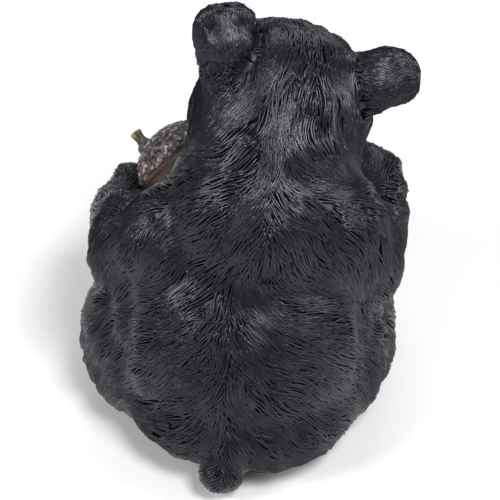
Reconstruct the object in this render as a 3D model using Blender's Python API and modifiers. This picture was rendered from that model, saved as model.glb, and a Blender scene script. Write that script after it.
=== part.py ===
"""A seated black bear, cast in resin, that hugs a large acorn.

The bear faces -Y, its left side is +X and it sits on the plane z = 0.
Its free form is given in design units, which are shares of its height.
The acorn is a piece of its own with real sizes, and the bear has a seat cut for it.
"""

import math

import bmesh
import bpy
import numpy as np
from mathutils import Euler, Matrix, Vector, noise
from mathutils.kdtree import KDTree

# Driving dimensions, in metres
BEAR_HEIGHT = 0.187
NUT_RADIUS = 0.0225
NUT_LENGTH = 0.0300
CAP_RADIUS = 0.0222
CAP_HEIGHT = 0.0144
CAP_LIFT = 0.0102
CAP_LIP = 0.0018
STEM_RADIUS = 0.0028
STEM_LENGTH = 0.0075
STEM_OFFSET = 0.0084
STEM_SINK = 0.0040
SEAT_CLEARANCE = 0.0004

# The bear is sculpted at this height in design units
DESIGN_HEIGHT = 187.0
UNIT = BEAR_HEIGHT / DESIGN_HEIGHT

# The sculpture is moved by this much, in design units, to centre it over the origin
STANCE = (1.4, 7.4, 0)

# Where the acorn sits in the bear's arms, in design units, and how it leans
ACORN_CENTRE = (24.5, -52, 78.5)
ACORN_AXIS = (0.673, -0.545, 0.500)
# The side of the acorn's crown on which its stem stands
STEM_SIDE = (0.68, 0.69, -0.25)
ACORN_SIDES = 24
STEM_SIDES = 12
CAP_STEPS = 5
NUT_STEPS = 9
# How full the nut is: above its middle, and in the curve that draws to its point
NUT_SHOULDER = 0.55
NUT_CURVE = (2.4, 0.62)
# The stem from its tip to its foot: share of its length and of its radius
STEM_SHAPE = ((0, 0.85), (0.08, 1.0), (0.5, 0.8), (0.8, 1.0), (1.0, 1.5))

# Sculpting resolution in design units, and the solid's triangle budget
LARGE_BALL = 15.0
COARSE_VOXEL = 2.0
FINE_VOXEL = 1.3
COARSE_ROUNDS = 10
FINE_ROUNDS = 4
CHAIN_STEP = 0.3
BEAR_TRIANGLES = 7900
FINE_SHARE = 0.5
FINE_FACTOR = 0.008

# Body masses: centre and radii in design units
BODY_MASSES = (
    ((-3, 10, 50), (56, 56, 56)),
    ((-5, 24, 27), (51, 46, 29)),
    ((0, -14, 48), (45, 38, 42)),
    ((-5, 4, 90), (42, 37, 42)),
    ((-11, 8, 110), (40, 37, 33)),
    ((-14, -8, 127), (34.8, 35, 31)),
    ((-5, 10, 88), (36, 36, 28)),
)
HAUNCH = ((36, 3, 33), (31, 39, 36))
TAIL = ((1, 66, 15), (9, 10, 9))

# Limbs as chains of balls: x, y, z and radius of each station
LEG = ((38, -2, 30, 31), (42, -28, 27, 26), (44, -46, 24, 20.5), (45, -58, 18, 17.5))
LEFT_ARM = (
    (26, 14, 97, 22),
    (42, 9, 81, 19),
    (46, -8, 81, 17.5),
    (53.5, -22, 74, 12.5),
    (54.5, -38, 67, 13.5),
    (51, -56, 64, 14.5),
)
RIGHT_ARM = (
    (-37, 12, 104, 25),
    (-51, 8, 82, 18.5),
    (-52, -8, 95, 19),
    (-52, -25, 99, 17.5),
    (-40, -42, 87, 14),
    (-20, -57, 74, 12.5),
)
# Paws: where each palm lies round the acorn, and where its fingers reach
LEFT_PAW = ((0.70, -0.42, -0.55), (-0.10, -0.88, -0.46))
RIGHT_PAW = ((-0.92, -0.30, -0.28), (-0.34, -0.93, 0.05))
PALM_RADIUS = 12.0
PALM_LIFT = 4.0
FINGERS = 4
FINGER_GAP = 7.4
# A finger's radius at its root and its tip, and how far it stands off the nut there
FINGER_RADII = (5.4, 4.0)
FINGER_LIFT = (4.3, 2.3)
FINGER_STEPS = 4
# Feet, given for the left side: centre and radii of the foot, then its toes
FOOT = ((45, -67, 20), (15, 10, 22))
TOES = 5
TOE_RADII = (4.8, 5.8, 4.8)
TOE_SHIFT = (1, -5, 3)
TOE_ARC = (13.0, 18.0)
TOE_FAN = math.radians(52)

# The head has its own frame, with its origin at its centre
HEAD_CENTRE = (-17, -24, 138)
HEAD_TURN = (0, math.radians(-16), math.radians(2))
HEAD_MASSES = (
    ((0, 0, 0), (36, 37, 35)),
    ((0, -26, -6), (19, 20, 15)),
)
CHEEK = ((19, -6, -12), (18, 24, 18))
BROW = ((13, -20, 13), (14, 14, 13))
MUZZLE = ((0, -30, -8, 14.5), (0, -42, -10, 12.5), (0, -50, -10, 10.5))
NOSE = ((0, -59, -5), (6.5, 4.5, 4.5))
CHIN = ((0, -46, -19), (8, 9, 5))
EYE = ((12.5, -33.5, 5.5), (3.6, 3.6, 3.6))
LID = ((12.5, -32.4, 8.0), (5.4, 3.6, 2.6))

# Each ear is a ring with a back plate, set on the skull and leaning outward
EARS = (
    ((32.5, 3, 28.5), math.radians(21), math.radians(12)),
    ((-34.5, 1, 27), math.radians(-53), math.radians(-12)),
)
EAR_RING = (9.6, 11.0)
EAR_RIM = 3.2
EAR_SQUARENESS = 0.8
EAR_STEPS = 32
EAR_PLATE = ((0, 2.6, 0), (11.5, 3.6, 13.0))
EAR_ROOT = ((0, 3, -3, 11), (0, 3, -13, 14.5))

# The line down the back from which the fur parts: height and its place across
PARTING = ((0, 0), (30, 0), (80, -1), (104, -8), (126, -14), (150, -19), (175, -26))
# How far the fur turns outward from straight down, by distance from the parting
RUMP_SWEEP = ((0, 8), (12, 40), (30, 56), (46, 46), (60, 20))
BACK_SWEEP = ((0, 6), (12, 30), (30, 38), (44, 12), (60, 0))
# On the head the fur runs from the nose to the nape, and fans out more on its left side
FLOW_SOURCE = (0, -58, 2)
FLOW_DRAIN = (-9, 22, 84)
HEAD_FAN = (1.3, 0.8)
FAN_REACH = 14.0
HEAD_DROP = (0.4, 0.8)
# The centre round which the body's fur turns, and the height of the waist
BODY_AXIS = (-3, 5)
WAIST = 92.0
# Soft borders of the fur's flow: where each lies, and how soft it is
WAIST_BORDER = (WAIST, 5)
HEAD_BORDER = (42, 4)
NAPE_BORDER = (-22, 6)
LEG_BORDER = (2, 6)
ARM_BORDER = (-20, 5)
# The pull of a limb on the fur round it: its strength, its reach and its droop
LIMB_PULL = 2.2
LIMB_REACH = 5.0
LIMB_DROOP = 0.35

# The folds where each thigh meets the rump, as lines over the skin, with their size
CREASES = (
    ((46, 28, 84), (42, 33, 72), (42, 41, 60), (50, 36, 44), (58, 29, 32)),
    ((-61, 22, 82), (-55, 24, 71), (-55, 29, 54), (-60, 28, 36)),
)
CREASE_DEPTH = 3.6
CREASE_WIDTH = 5.0
# Locks of fur: how long, wide and proud they are, and how far apart they start
LOCK_LENGTH = 18.0
LOCK_WIDTH = 5.4
LOCK_RISE = 2.5
LOCK_BED = 1.5
LOCK_SPACING = 9.0
LOCK_ROUNDS = 2
LOCK_STEP = 1.5
# Locks differ in size, and each swells along its length and ends over this share of it
LOCK_SIZES = (0.8, 1.2)
LOCK_SWELL = 1.3
LOCK_ROOT = 0.3
LOCK_TIP = 0.2
FUR_SEED = 7
# How far the fur swirls to either side of its way, and the size of one swirl
SWIRL_TURN = math.radians(34)
SWIRL_SIZE = 20.0
# Short or bare skin round nose, eyes and ears: centre in the head's frame and radius
BARE_EAR = 15.0
BARE_HEAD = ((0, -58, -9, 20), (12.5, -34, 5.5, 12), (-12.5, -34, 5.5, 12))
BARE_EDGE = 3.0
# The soles: in front of this and below this the skin is bare
SOLE_FRONT = -71.5
SOLE_TOP = 48.0
# Where the solid keeps small faces: the face, both paws and the toes
FINE_FACE = (0, -44, 0, 26)
FINE_PAWS = 35.0
FINE_TOES = -64.0


def clear_scene():
    for item in list(bpy.data.objects):
        bpy.data.objects.remove(item, do_unlink=True)


def coloured(name, colour, roughness):
    """A plain finish: base colour in linear RGB and its roughness."""
    finish = bpy.data.materials.new(name)
    finish.use_nodes = True
    shader = finish.node_tree.nodes["Principled BSDF"]
    shader.inputs["Base Color"].default_value = (*colour, 1.0)
    shader.inputs["Roughness"].default_value = roughness
    shader.inputs["Metallic"].default_value = 0.0
    return finish


# Building the sculpted form out of balls


def add_ball(work, frame, centre, radii):
    """Add one closed ellipsoid, with more faces where it is large."""
    placed = frame @ Matrix.Translation(Vector(centre)) @ Matrix.Diagonal((*radii, 1))
    detail = 4 if max(radii) > LARGE_BALL else 2
    bmesh.ops.create_icosphere(work, subdivisions=detail, radius=1, matrix=placed)


def add_chain(work, frame, stations):
    """A limb: close-set balls that swell and shrink from station to station."""
    for start, end in zip(stations[:-1], stations[1:]):
        span = (Vector(end[:3]) - Vector(start[:3])).length
        steps = max(1, math.ceil(span / (CHAIN_STEP * min(start[3], end[3]))))
        for step in range(steps + 1):
            share = step / steps
            x, y, z, r = (a + (b - a) * share for a, b in zip(start, end))
            add_ball(work, frame, (x, y, z), (r, r, r))


def mirrored(stations):
    return tuple((-row[0], *row[1:]) for row in stations)


def add_pair(work, frame, mass):
    """The same mass on the left and on the right."""
    (x, y, z), radii = mass
    for side in (1, -1):
        add_ball(work, frame, (side * x, y, z), radii)


def head_frame():
    return Matrix.Translation(Vector(HEAD_CENTRE)) @ Euler(HEAD_TURN).to_matrix().to_4x4()


def placing():
    """From design units to metres, over the origin."""
    return Matrix.Scale(UNIT, 4) @ Matrix.Translation(Vector(STANCE))


def acorn_frame():
    """The acorn's own frame in design units: its stem points along +Z."""
    lean = Vector(ACORN_AXIS).normalized().to_track_quat("Z", "Y").to_matrix().to_4x4()
    return Matrix.Translation(Vector(ACORN_CENTRE)) @ lean


def add_paw(work, paw):
    """Fingers that lie on the acorn, side by side, from the palm to their tips."""
    palm, reach = (Vector(way).normalized() for way in paw)
    across = palm.cross(reach).normalized()
    centre = Vector(ACORN_CENTRE)
    nut = NUT_RADIUS / UNIT
    rest = centre + palm * (nut + FINGER_LIFT[1] + PALM_LIFT)
    add_ball(work, Matrix.Translation(rest), (0, 0, 0), (PALM_RADIUS,) * 3)
    for finger in range(FINGERS):
        aside = across * (finger - (FINGERS - 1) / 2) * FINGER_GAP
        stations = []
        for step in range(FINGER_STEPS + 1):
            share = step / FINGER_STEPS
            lift, radius = (a + (b - a) * share for a, b in (FINGER_LIFT, FINGER_RADII))
            way = palm.slerp(reach, share) * (nut + lift) + aside
            stations.append((*(centre + way.normalized() * (nut + lift)), radius))
        add_chain(work, Matrix.Identity(4), stations)


def add_foot(work, side):
    """A foot with its sole to the front and a row of toes across the top."""
    (x, y, z), radii = FOOT
    add_ball(work, Matrix.Identity(4), (side * x, y, z), radii)
    for toe in range(TOES):
        angle = TOE_FAN * (2 * toe / (TOES - 1) - 1)
        spot = (
            side * (x + TOE_SHIFT[0]) + TOE_ARC[0] * math.sin(angle),
            y + TOE_SHIFT[1],
            z + TOE_SHIFT[2] + TOE_ARC[1] * math.cos(angle),
        )
        add_ball(work, Matrix.Identity(4), spot, TOE_RADII)


def ear_frames():
    """Where each ear's ring is centred, with +Z towards the ear's tip and -Y its hollow side."""
    for centre, splay, turn in EARS:
        lean = Euler((0, splay, turn)).to_matrix().to_4x4()
        yield head_frame() @ Matrix.Translation(Vector(centre)) @ lean


def rounded_square(share):
    """A spot on a unit ring whose corners bulge outward."""
    across, along = math.sin(2 * math.pi * share), math.cos(2 * math.pi * share)
    return (
        math.copysign(abs(across) ** EAR_SQUARENESS, across),
        math.copysign(abs(along) ** EAR_SQUARENESS, along),
    )


def add_ear(work, ear):
    for step in range(EAR_STEPS):
        across, along = rounded_square(step / EAR_STEPS)
        spot = (EAR_RING[0] * across, 0, EAR_RING[1] * along)
        add_ball(work, ear, spot, (EAR_RIM, EAR_RIM, EAR_RIM))
    add_ball(work, ear, *EAR_PLATE)
    add_chain(work, ear, EAR_ROOT)


def fuse(work, voxel, rounds, name):
    """Turn the closed shells of the working mesh into one smooth skin."""
    mesh = bpy.data.meshes.new(name)
    work.to_mesh(mesh)
    work.free()
    item = bpy.data.objects.new(name, mesh)
    bpy.context.scene.collection.objects.link(item)
    skin = item.modifiers.new("skin", "REMESH")
    skin.mode = "VOXEL"
    skin.voxel_size = voxel
    blend = item.modifiers.new("blend", "SMOOTH")
    blend.factor = 0.5
    blend.iterations = rounds
    seen = item.evaluated_get(bpy.context.evaluated_depsgraph_get())
    result = bpy.data.meshes.new_from_object(seen)
    bpy.data.objects.remove(item, do_unlink=True)
    return result


def body_skin():
    """The big forms, blended softly into each other."""
    still = Matrix.Identity(4)
    head = head_frame()
    work = bmesh.new()
    for centre, radii in BODY_MASSES:
        add_ball(work, still, centre, radii)
    add_pair(work, still, HAUNCH)
    add_chain(work, still, LEG)
    add_chain(work, still, mirrored(LEG))
    add_chain(work, still, LEFT_ARM)
    add_chain(work, still, RIGHT_ARM)
    for centre, radii in HEAD_MASSES:
        add_ball(work, head, centre, radii)
    add_pair(work, head, CHEEK)
    add_pair(work, head, BROW)
    add_chain(work, head, MUZZLE)
    return fuse(work, COARSE_VOXEL, COARSE_ROUNDS, "body")


def bear_skin():
    """The whole bear in design units: the body with its small forms added."""
    head = head_frame()
    work = bmesh.new()
    work.from_mesh(body_skin())
    for side, ear in zip((1, -1), ear_frames()):
        add_ear(work, ear)
        add_foot(work, side)
    add_ball(work, Matrix.Identity(4), *TAIL)
    add_ball(work, head, *NOSE)
    add_ball(work, head, *CHIN)
    add_pair(work, head, EYE)
    add_pair(work, head, LID)
    add_paw(work, LEFT_PAW)
    add_paw(work, RIGHT_PAW)
    return fuse(work, FINE_VOXEL, FINE_ROUNDS, "bear")


# The way the fur lies


def ramp(value, table):
    """Read a smooth value from a short table of pairs."""
    keys, values = zip(*table)
    return np.interp(value, keys, values)


def unit(rows):
    return rows / np.maximum(np.linalg.norm(rows, axis=-1, keepdims=True), 1e-9)


def below(values, border):
    """One below a soft border and nought above it."""
    return 1 / (1 + np.exp((values - border[0]) / border[1]))


def torso_flow(spots):
    """From the parting outward and down, round the body."""
    across = spots[:, 0] - ramp(spots[:, 2], PARTING)
    side = np.where(across < 0, -1.0, 1.0)
    low = below(spots[:, 2], WAIST_BORDER)
    sweep = low * ramp(abs(across), RUMP_SWEEP) + (1 - low) * ramp(abs(across), BACK_SWEEP)
    sweep = np.radians(sweep)
    round_body = unit(spots[:, :2] - np.array(BODY_AXIS))
    outward = np.stack([side * round_body[:, 1], -side * round_body[:, 0]], axis=1)
    flow = np.zeros_like(spots)
    flow[:, :2] = outward * np.sin(sweep)[:, None]
    flow[:, 2] = -np.cos(sweep)
    return flow


def head_flow(spots):
    """Away from the nose, over the brow and cheeks, and down and out to the neck."""
    head = head_frame()
    away = unit(spots - np.array(head @ Vector(FLOW_SOURCE)))
    down = unit(np.array(FLOW_DRAIN) - spots)
    across = spots[:, :1] - ramp(spots[:, 2], PARTING)[:, None]
    fan = np.where(across > 0, *HEAD_FAN) * np.clip(across / FAN_REACH, -1, 1)
    outward = fan * np.array(head.to_3x3() @ Vector((1, 0, 0)))
    behind = 1 - below(spots[:, 1:2], NAPE_BORDER)
    return unit(away + down * (HEAD_DROP[0] + HEAD_DROP[1] * behind) + outward * behind)


def limb_flow(spots, stations):
    """Along a limb towards its end, where a spot is close to it."""
    rows = np.array(stations, dtype=float)
    flow = np.zeros_like(spots)
    for start, end in zip(rows[:-1], rows[1:]):
        along = unit(end[:3] - start[:3])
        span = np.linalg.norm(end[:3] - start[:3])
        reach = np.clip((spots - start[:3]) @ along / span, 0, 1)[:, None]
        axis_spot = start[:3] + reach * (end[:3] - start[:3])
        girth = start[3] + reach[:, 0] * (end[3] - start[3])
        beyond = np.linalg.norm(spots - axis_spot, axis=1) - girth
        weight = LIMB_PULL * np.exp(-((np.maximum(beyond, 0) / LIMB_REACH) ** 2))
        flow += (along - np.array((0, 0, LIMB_DROOP))) * weight[:, None]
    return flow


def fur_flow(spots, normals):
    """The unit direction in which the fur lies at each spot of the skin."""
    near_head = np.linalg.norm(spots - np.array(HEAD_CENTRE), axis=1)
    head_share = below(near_head, HEAD_BORDER)[:, None]
    flow = torso_flow(spots)
    for limb, border in (
        (LEG, LEG_BORDER),
        (mirrored(LEG), LEG_BORDER),
        (LEFT_ARM[1:], ARM_BORDER),
        (RIGHT_ARM[1:], ARM_BORDER),
    ):
        flow += limb_flow(spots, limb) * below(spots[:, 1:2], border)
    flow = flow * (1 - head_share) + head_flow(spots) * head_share
    flow = unit(flow - normals * (flow * normals).sum(axis=1)[:, None])
    turn = SWIRL_TURN * np.array([noise.noise(Vector(spot) / SWIRL_SIZE) for spot in spots])
    return flow * np.cos(turn)[:, None] + np.cross(normals, flow) * np.sin(turn)[:, None]


def soft_step(values):
    """Nought well below zero and one well above it, in design units."""
    return np.clip(values / (2 * BARE_EDGE) + 0.5, 0, 1)


def within(spots, centre, radius):
    """One inside a ball and nought outside it, soft between."""
    return soft_step(radius - np.linalg.norm(spots - np.array(centre), axis=1))


def bare_skin(spots):
    """One where the skin is bare, nought where it has fur, soft between."""
    bare = soft_step(SOLE_FRONT - spots[:, 1]) * soft_step(SOLE_TOP - spots[:, 2])
    for x, y, z, r in BARE_HEAD:
        bare = np.maximum(bare, within(spots, head_frame() @ Vector((x, y, z)), r))
    for ear in ear_frames():
        bare = np.maximum(bare, within(spots, ear.translation, BARE_EAR))
    return bare


def fine_skin(spots):
    """One round the face, paws and toes, where the solid keeps its small faces."""
    x, y, z, r = FINE_FACE
    face = within(spots, head_frame() @ Vector((x, y, z)), r)
    paws = within(spots, ACORN_CENTRE, FINE_PAWS)
    return np.maximum(np.maximum(face, paws), soft_step(FINE_TOES - spots[:, 1]))


# Locks of fur carved into the skin


def spread_starts(spots, spacing, seed):
    """Pick spots in a seeded order so that no two are closer than the spacing."""
    order = np.random.default_rng(seed).permutation(len(spots))
    tree = KDTree(len(spots))
    for index, spot in enumerate(spots):
        tree.insert(spot, index)
    tree.balance()
    taken = np.zeros(len(spots), dtype=bool)
    starts = []
    for index in order:
        if taken[index]:
            continue
        starts.append(index)
        for _, near, _ in tree.find_range(spots[index], spacing):
            taken[near] = True
    return starts, tree


def trace_lock(start, spots, normals, flow, tree, length):
    """Follow the fur over the skin from a starting vertex."""
    path = [spots[start]]
    index = start
    for _ in range(int(length / LOCK_STEP)):
        ahead = path[-1] + flow[index] * LOCK_STEP
        _, index, _ = tree.find(ahead)
        above = (ahead - spots[index]) @ normals[index]
        path.append(ahead - normals[index] * above)
    return np.array(path)


def lock_relief(spots, normals):
    """How far each vertex rises: overlapping locks that end in a point."""
    flow = fur_flow(spots, normals)
    starts, tree = spread_starts(spots, LOCK_SPACING, FUR_SEED)
    sizes = np.random.default_rng(FUR_SEED).uniform(*LOCK_SIZES, len(starts))
    height = np.full(len(spots), -LOCK_BED)
    for size, start in zip(sizes, starts):
        path = trace_lock(start, spots, normals, flow, tree, LOCK_LENGTH * size)
        for step, spot in enumerate(path):
            share = step / (len(path) - 1)
            swell = max(0.0, math.sin(math.pi * share ** LOCK_SWELL))
            width = LOCK_WIDTH * size * math.sqrt(swell) + LOCK_STEP / 2
            rise = LOCK_RISE * (LOCK_ROOT + (1 - LOCK_ROOT) * share)
            rise *= min(1.0, (1.0 - share) / LOCK_TIP)
            for _, near, distance in tree.find_range(spot, width):
                bump = rise * (1 - (distance / width) ** 2) - LOCK_BED
                height[near] = max(height[near], bump)
    return height * (1 - bare_skin(spots)) - fold_depth(spots)


def fold_depth(spots):
    """How deep the folds by the thighs are at each spot."""
    nearest = np.full(len(spots), np.inf)
    for crease in CREASES:
        for start, end in zip(np.array(crease[:-1], float), np.array(crease[1:], float)):
            span = end - start
            share = np.clip((spots - start) @ span / (span @ span), 0, 1)[:, None]
            nearest = np.minimum(nearest, np.linalg.norm(spots - start - share * span, axis=1))
    return CREASE_DEPTH * np.exp(-((nearest / CREASE_WIDTH) ** 2))


def carve(mesh):
    """Push the skin's vertices out and in along their normals."""
    spots = np.array([vertex.co for vertex in mesh.vertices])
    normals = np.array([vertex.normal for vertex in mesh.vertices])
    spots += normals * lock_relief(spots, normals)[:, None]
    mesh.vertices.foreach_set("co", spots.ravel())
    mesh.update()


# The acorn


def turned(name, profile, sides):
    """A closed body turned about Z from a profile that runs top to bottom."""
    mesh = bpy.data.meshes.new(name)
    edges = [(i, i + 1) for i in range(len(profile) - 1)]
    mesh.from_pydata([(r, 0, z) for r, z in profile], edges, [])
    item = bpy.data.objects.new(name, mesh)
    lathe = item.modifiers.new("lathe", "SCREW")
    lathe.steps = sides
    lathe.render_steps = sides
    lathe.use_merge_vertices = True
    lathe.merge_threshold = 0.00001
    return item


def nut_radius(height):
    """The nut is round above its middle and draws to a point below."""
    if height > 0:
        return NUT_RADIUS * math.sqrt(max(0.0, 1 - (height / NUT_RADIUS) ** 2 * NUT_SHOULDER))
    share = -height / NUT_LENGTH
    return NUT_RADIUS * (1 - share ** NUT_CURVE[0]) ** NUT_CURVE[1]


def cap_arc():
    """The radius and half the angle of the arc from the cap's crown to its lip."""
    radius = (CAP_RADIUS ** 2 + CAP_HEIGHT ** 2) / (2 * CAP_HEIGHT)
    return radius, 2 * math.atan(CAP_HEIGHT / CAP_RADIUS)


def facing(start, end):
    """The outward direction of a stretch of profile that runs top to bottom."""
    return Vector((start[1] - end[1], end[0] - start[0])).normalized()


def grown(outline, grow):
    """The same profile with every stretch moved outward by a clearance."""
    result = []
    for index, (r, z) in enumerate(outline):
        before = facing(*outline[index - 1:index + 1]) if index else Vector((0, 1))
        after = facing(*outline[index:index + 2]) if index + 1 < len(outline) else Vector((0, -1))
        shift = (before + after) * (grow / (1 + before.dot(after)))
        result.append((r + shift[0] if r else 0.0, z + shift[1]))
    return result


def acorn_profile():
    """Cap, lip and nut from the crown down."""
    radius, half_angle = cap_arc()
    crown = CAP_LIFT + CAP_HEIGHT
    outline = []
    for step in range(CAP_STEPS + 1):
        angle = half_angle * step / CAP_STEPS
        outline.append((radius * math.sin(angle), crown - radius * (1 - math.cos(angle))))
    rim = CAP_LIFT - CAP_LIP
    outline.append((CAP_RADIUS, rim))
    for step in range(NUT_STEPS):
        height = rim - (rim + NUT_LENGTH) * step / NUT_STEPS
        outline.append((nut_radius(height), height))
    outline.append((0, -NUT_LENGTH))
    return outline


def acorn_body(name, grow=0.0):
    """The nut in its cap."""
    item = turned(name, grown(acorn_profile(), grow), ACORN_SIDES)
    item.matrix_world = placing() @ acorn_frame() @ Matrix.Scale(1 / UNIT, 4)
    return item


def stem_place():
    """The foot of the stem on the cap's crown, to one side of the axis."""
    side = acorn_frame().to_3x3().inverted() @ Vector(STEM_SIDE)
    way = Vector((side.x, side.y, 0)).normalized() * STEM_OFFSET
    radius, _ = cap_arc()
    fall = radius - math.sqrt(radius ** 2 - STEM_OFFSET ** 2)
    return Matrix.Translation(way + Vector((0, 0, CAP_LIFT + CAP_HEIGHT - fall)))


def acorn_stem(name):
    outline = [(0, STEM_LENGTH)]
    for along, thick in STEM_SHAPE:
        outline.append((STEM_RADIUS * thick, STEM_LENGTH * (1 - along)))
    outline.append((outline[-1][0], -STEM_SINK))
    outline.append((0, -STEM_SINK))
    item = turned(name, outline, STEM_SIDES)
    scaled = Matrix.Scale(1 / UNIT, 4)
    item.matrix_world = placing() @ acorn_frame() @ scaled @ stem_place()
    return item


# Putting it together


def finish_bear(mesh, group, cutters):
    """Thin the mesh out, then cut the flat underside and the acorn's seat."""
    bear = bpy.data.objects.new("bear", mesh)
    group.objects.link(bear)
    spots = np.array([vertex.co for vertex in mesh.vertices])
    mesh.transform(placing())
    soften = bear.modifiers.new("soften", "SMOOTH")
    soften.factor = 0.5
    soften.iterations = LOCK_ROUNDS
    fine = bear.vertex_groups.new(name="fine")
    for index, share in enumerate(fine_skin(spots)):
        fine.add([index], share * FINE_SHARE, "REPLACE")
    thin = bear.modifiers.new("thin", "DECIMATE")
    thin.ratio = BEAR_TRIANGLES / (2 * len(mesh.vertices))
    thin.vertex_group = fine.name
    thin.invert_vertex_group = True
    thin.vertex_group_factor = FINE_FACTOR
    ground = bpy.data.objects.new("ground_cutter", bpy.data.meshes.new("ground_cutter"))
    work = bmesh.new()
    bmesh.ops.create_cube(work, size=BEAR_HEIGHT * 2)
    work.to_mesh(ground.data)
    work.free()
    ground.location = (0, 0, -BEAR_HEIGHT)
    seat = acorn_body("seat_cutter", SEAT_CLEARANCE)
    for cutter in (ground, seat):
        combine(bear, cutter, "DIFFERENCE", cutters)
    return bear


def combine(item, tool, operation, group):
    """Cut a tool from a piece or join it on, and keep the tool out of sight."""
    group.objects.link(tool)
    tool.hide_render = True
    tool.display_type = "WIRE"
    change = item.modifiers.new(tool.name, "BOOLEAN")
    change.operation = operation
    change.solver = "EXACT"
    change.object = tool


def main():
    clear_scene()
    group = bpy.data.collections.new("sitting_bear")
    cutters = bpy.data.collections.new("cutters")
    for collection in (group, cutters):
        bpy.context.scene.collection.children.link(collection)
    skin = bear_skin()
    carve(skin)
    bear = finish_bear(skin, group, cutters)
    bear.data.materials.clear()
    bear.data.materials.append(coloured("black_resin", (0.030, 0.031, 0.036), 0.42))
    acorn = acorn_body("acorn")
    group.objects.link(acorn)
    combine(acorn, acorn_stem("stem_tool"), "UNION", cutters)
    acorn.data.materials.append(coloured("acorn_brown", (0.075, 0.045, 0.035), 0.55))


main()
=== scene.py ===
"""The looks of the sitting bear: carved fur, face, acorn, floor, light and camera."""

import math

import bmesh
import bpy
import numpy as np
from mathutils import Euler, Matrix, Vector, noise
from mathutils.kdtree import KDTree


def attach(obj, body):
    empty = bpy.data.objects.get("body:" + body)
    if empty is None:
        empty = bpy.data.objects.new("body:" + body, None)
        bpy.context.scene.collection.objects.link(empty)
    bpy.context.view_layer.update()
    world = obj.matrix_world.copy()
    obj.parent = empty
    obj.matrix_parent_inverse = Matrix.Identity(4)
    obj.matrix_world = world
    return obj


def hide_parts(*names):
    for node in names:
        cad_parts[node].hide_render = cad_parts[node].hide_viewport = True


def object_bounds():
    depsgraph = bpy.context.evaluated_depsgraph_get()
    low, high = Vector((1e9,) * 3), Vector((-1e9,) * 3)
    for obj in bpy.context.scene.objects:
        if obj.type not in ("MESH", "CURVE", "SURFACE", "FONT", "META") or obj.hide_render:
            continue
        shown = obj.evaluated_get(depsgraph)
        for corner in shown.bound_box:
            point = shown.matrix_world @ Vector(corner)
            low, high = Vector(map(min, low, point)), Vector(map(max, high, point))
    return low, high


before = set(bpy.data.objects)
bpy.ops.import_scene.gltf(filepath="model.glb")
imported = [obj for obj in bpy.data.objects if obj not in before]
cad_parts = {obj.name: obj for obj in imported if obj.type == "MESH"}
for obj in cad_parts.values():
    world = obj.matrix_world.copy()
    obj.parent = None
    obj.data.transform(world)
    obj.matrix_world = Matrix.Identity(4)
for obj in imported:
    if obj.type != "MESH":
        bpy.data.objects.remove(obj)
CAD_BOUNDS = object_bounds()

# Driving dimensions, in metres
BEAR_HEIGHT = 0.187
NUT_RADIUS = 0.0225
NUT_LENGTH = 0.0300
CAP_RADIUS = 0.0222
CAP_HEIGHT = 0.0144
CAP_LIFT = 0.0102
CAP_LIP = 0.0018
STEM_RADIUS = 0.0028
STEM_LENGTH = 0.0075
STEM_OFFSET = 0.0084
STEM_SINK = 0.0040
SEAT_CLEARANCE = 0.0004

# The bear is sculpted at this height in design units
DESIGN_HEIGHT = 187.0
UNIT = BEAR_HEIGHT / DESIGN_HEIGHT

# The sculpture is moved by this much, in design units, to centre it over the origin
STANCE = (1.4, 7.4, 0)

# Where the acorn sits in the bear's arms, in design units, and how it leans
ACORN_CENTRE = (24.5, -52, 78.5)
ACORN_AXIS = (0.673, -0.545, 0.500)
# The side of the acorn's crown on which its stem stands
STEM_SIDE = (0.68, 0.69, -0.25)
# How full the nut is: above its middle, and in the curve that draws to its point
NUT_SHOULDER = 0.55
NUT_CURVE = (2.4, 0.62)
# The stem from its tip to its foot: share of its length and of its radius
STEM_SHAPE = ((0, 0.85), (0.08, 1.0), (0.5, 0.8), (0.8, 1.0), (1.0, 1.5))

# Sculpting resolution in design units: balls over this size are divided more finely
LARGE_BALL = 15.0
LARGE_DETAIL = 4
SMALL_DETAIL = 2
COARSE_VOXEL = 2.0
FINE_VOXEL = 1.3
COARSE_ROUNDS = 10
FINE_ROUNDS = 4
SMOOTH_FACTOR = 0.5
CHAIN_STEP = 0.3

# Body masses: centre and radii in design units
BODY_MASSES = (
    ((-3, 10, 50), (56, 56, 56)),
    ((-5, 24, 27), (51, 46, 29)),
    ((0, -14, 48), (45, 38, 42)),
    ((-5, 4, 90), (42, 37, 42)),
    ((-11, 8, 110), (40, 37, 33)),
    ((-14, -8, 127), (34.8, 35, 31)),
    ((-5, 10, 88), (36, 36, 28)),
)
HAUNCH = ((36, 3, 33), (31, 39, 36))
TAIL = ((1, 66, 15), (9, 10, 9))

# Limbs as chains of balls: x, y, z and radius of each station
LEG = ((38, -2, 30, 31), (42, -28, 27, 26), (44, -46, 24, 20.5), (45, -58, 18, 17.5))
LEFT_ARM = (
    (26, 14, 97, 22),
    (42, 9, 81, 19),
    (46, -8, 81, 17.5),
    (53.5, -22, 74, 12.5),
    (54.5, -38, 67, 13.5),
    (51, -56, 64, 14.5),
)
RIGHT_ARM = (
    (-37, 12, 104, 25),
    (-51, 8, 82, 18.5),
    (-52, -8, 95, 19),
    (-52, -25, 99, 17.5),
    (-40, -42, 87, 14),
    (-20, -57, 74, 12.5),
)
# Paws: where each palm lies round the acorn, and where its fingers reach
LEFT_PAW = ((0.70, -0.42, -0.55), (-0.10, -0.88, -0.46))
RIGHT_PAW = ((-0.92, -0.30, -0.28), (-0.34, -0.93, 0.05))
PALM_RADIUS = 12.0
PALM_LIFT = 4.0
FINGERS = 4
FINGER_GAP = 7.4
# A finger's radius at its root and its tip, and how far it stands off the nut there
FINGER_RADII = (5.4, 4.0)
FINGER_LIFT = (4.3, 2.3)
FINGER_STEPS = 4
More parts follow.
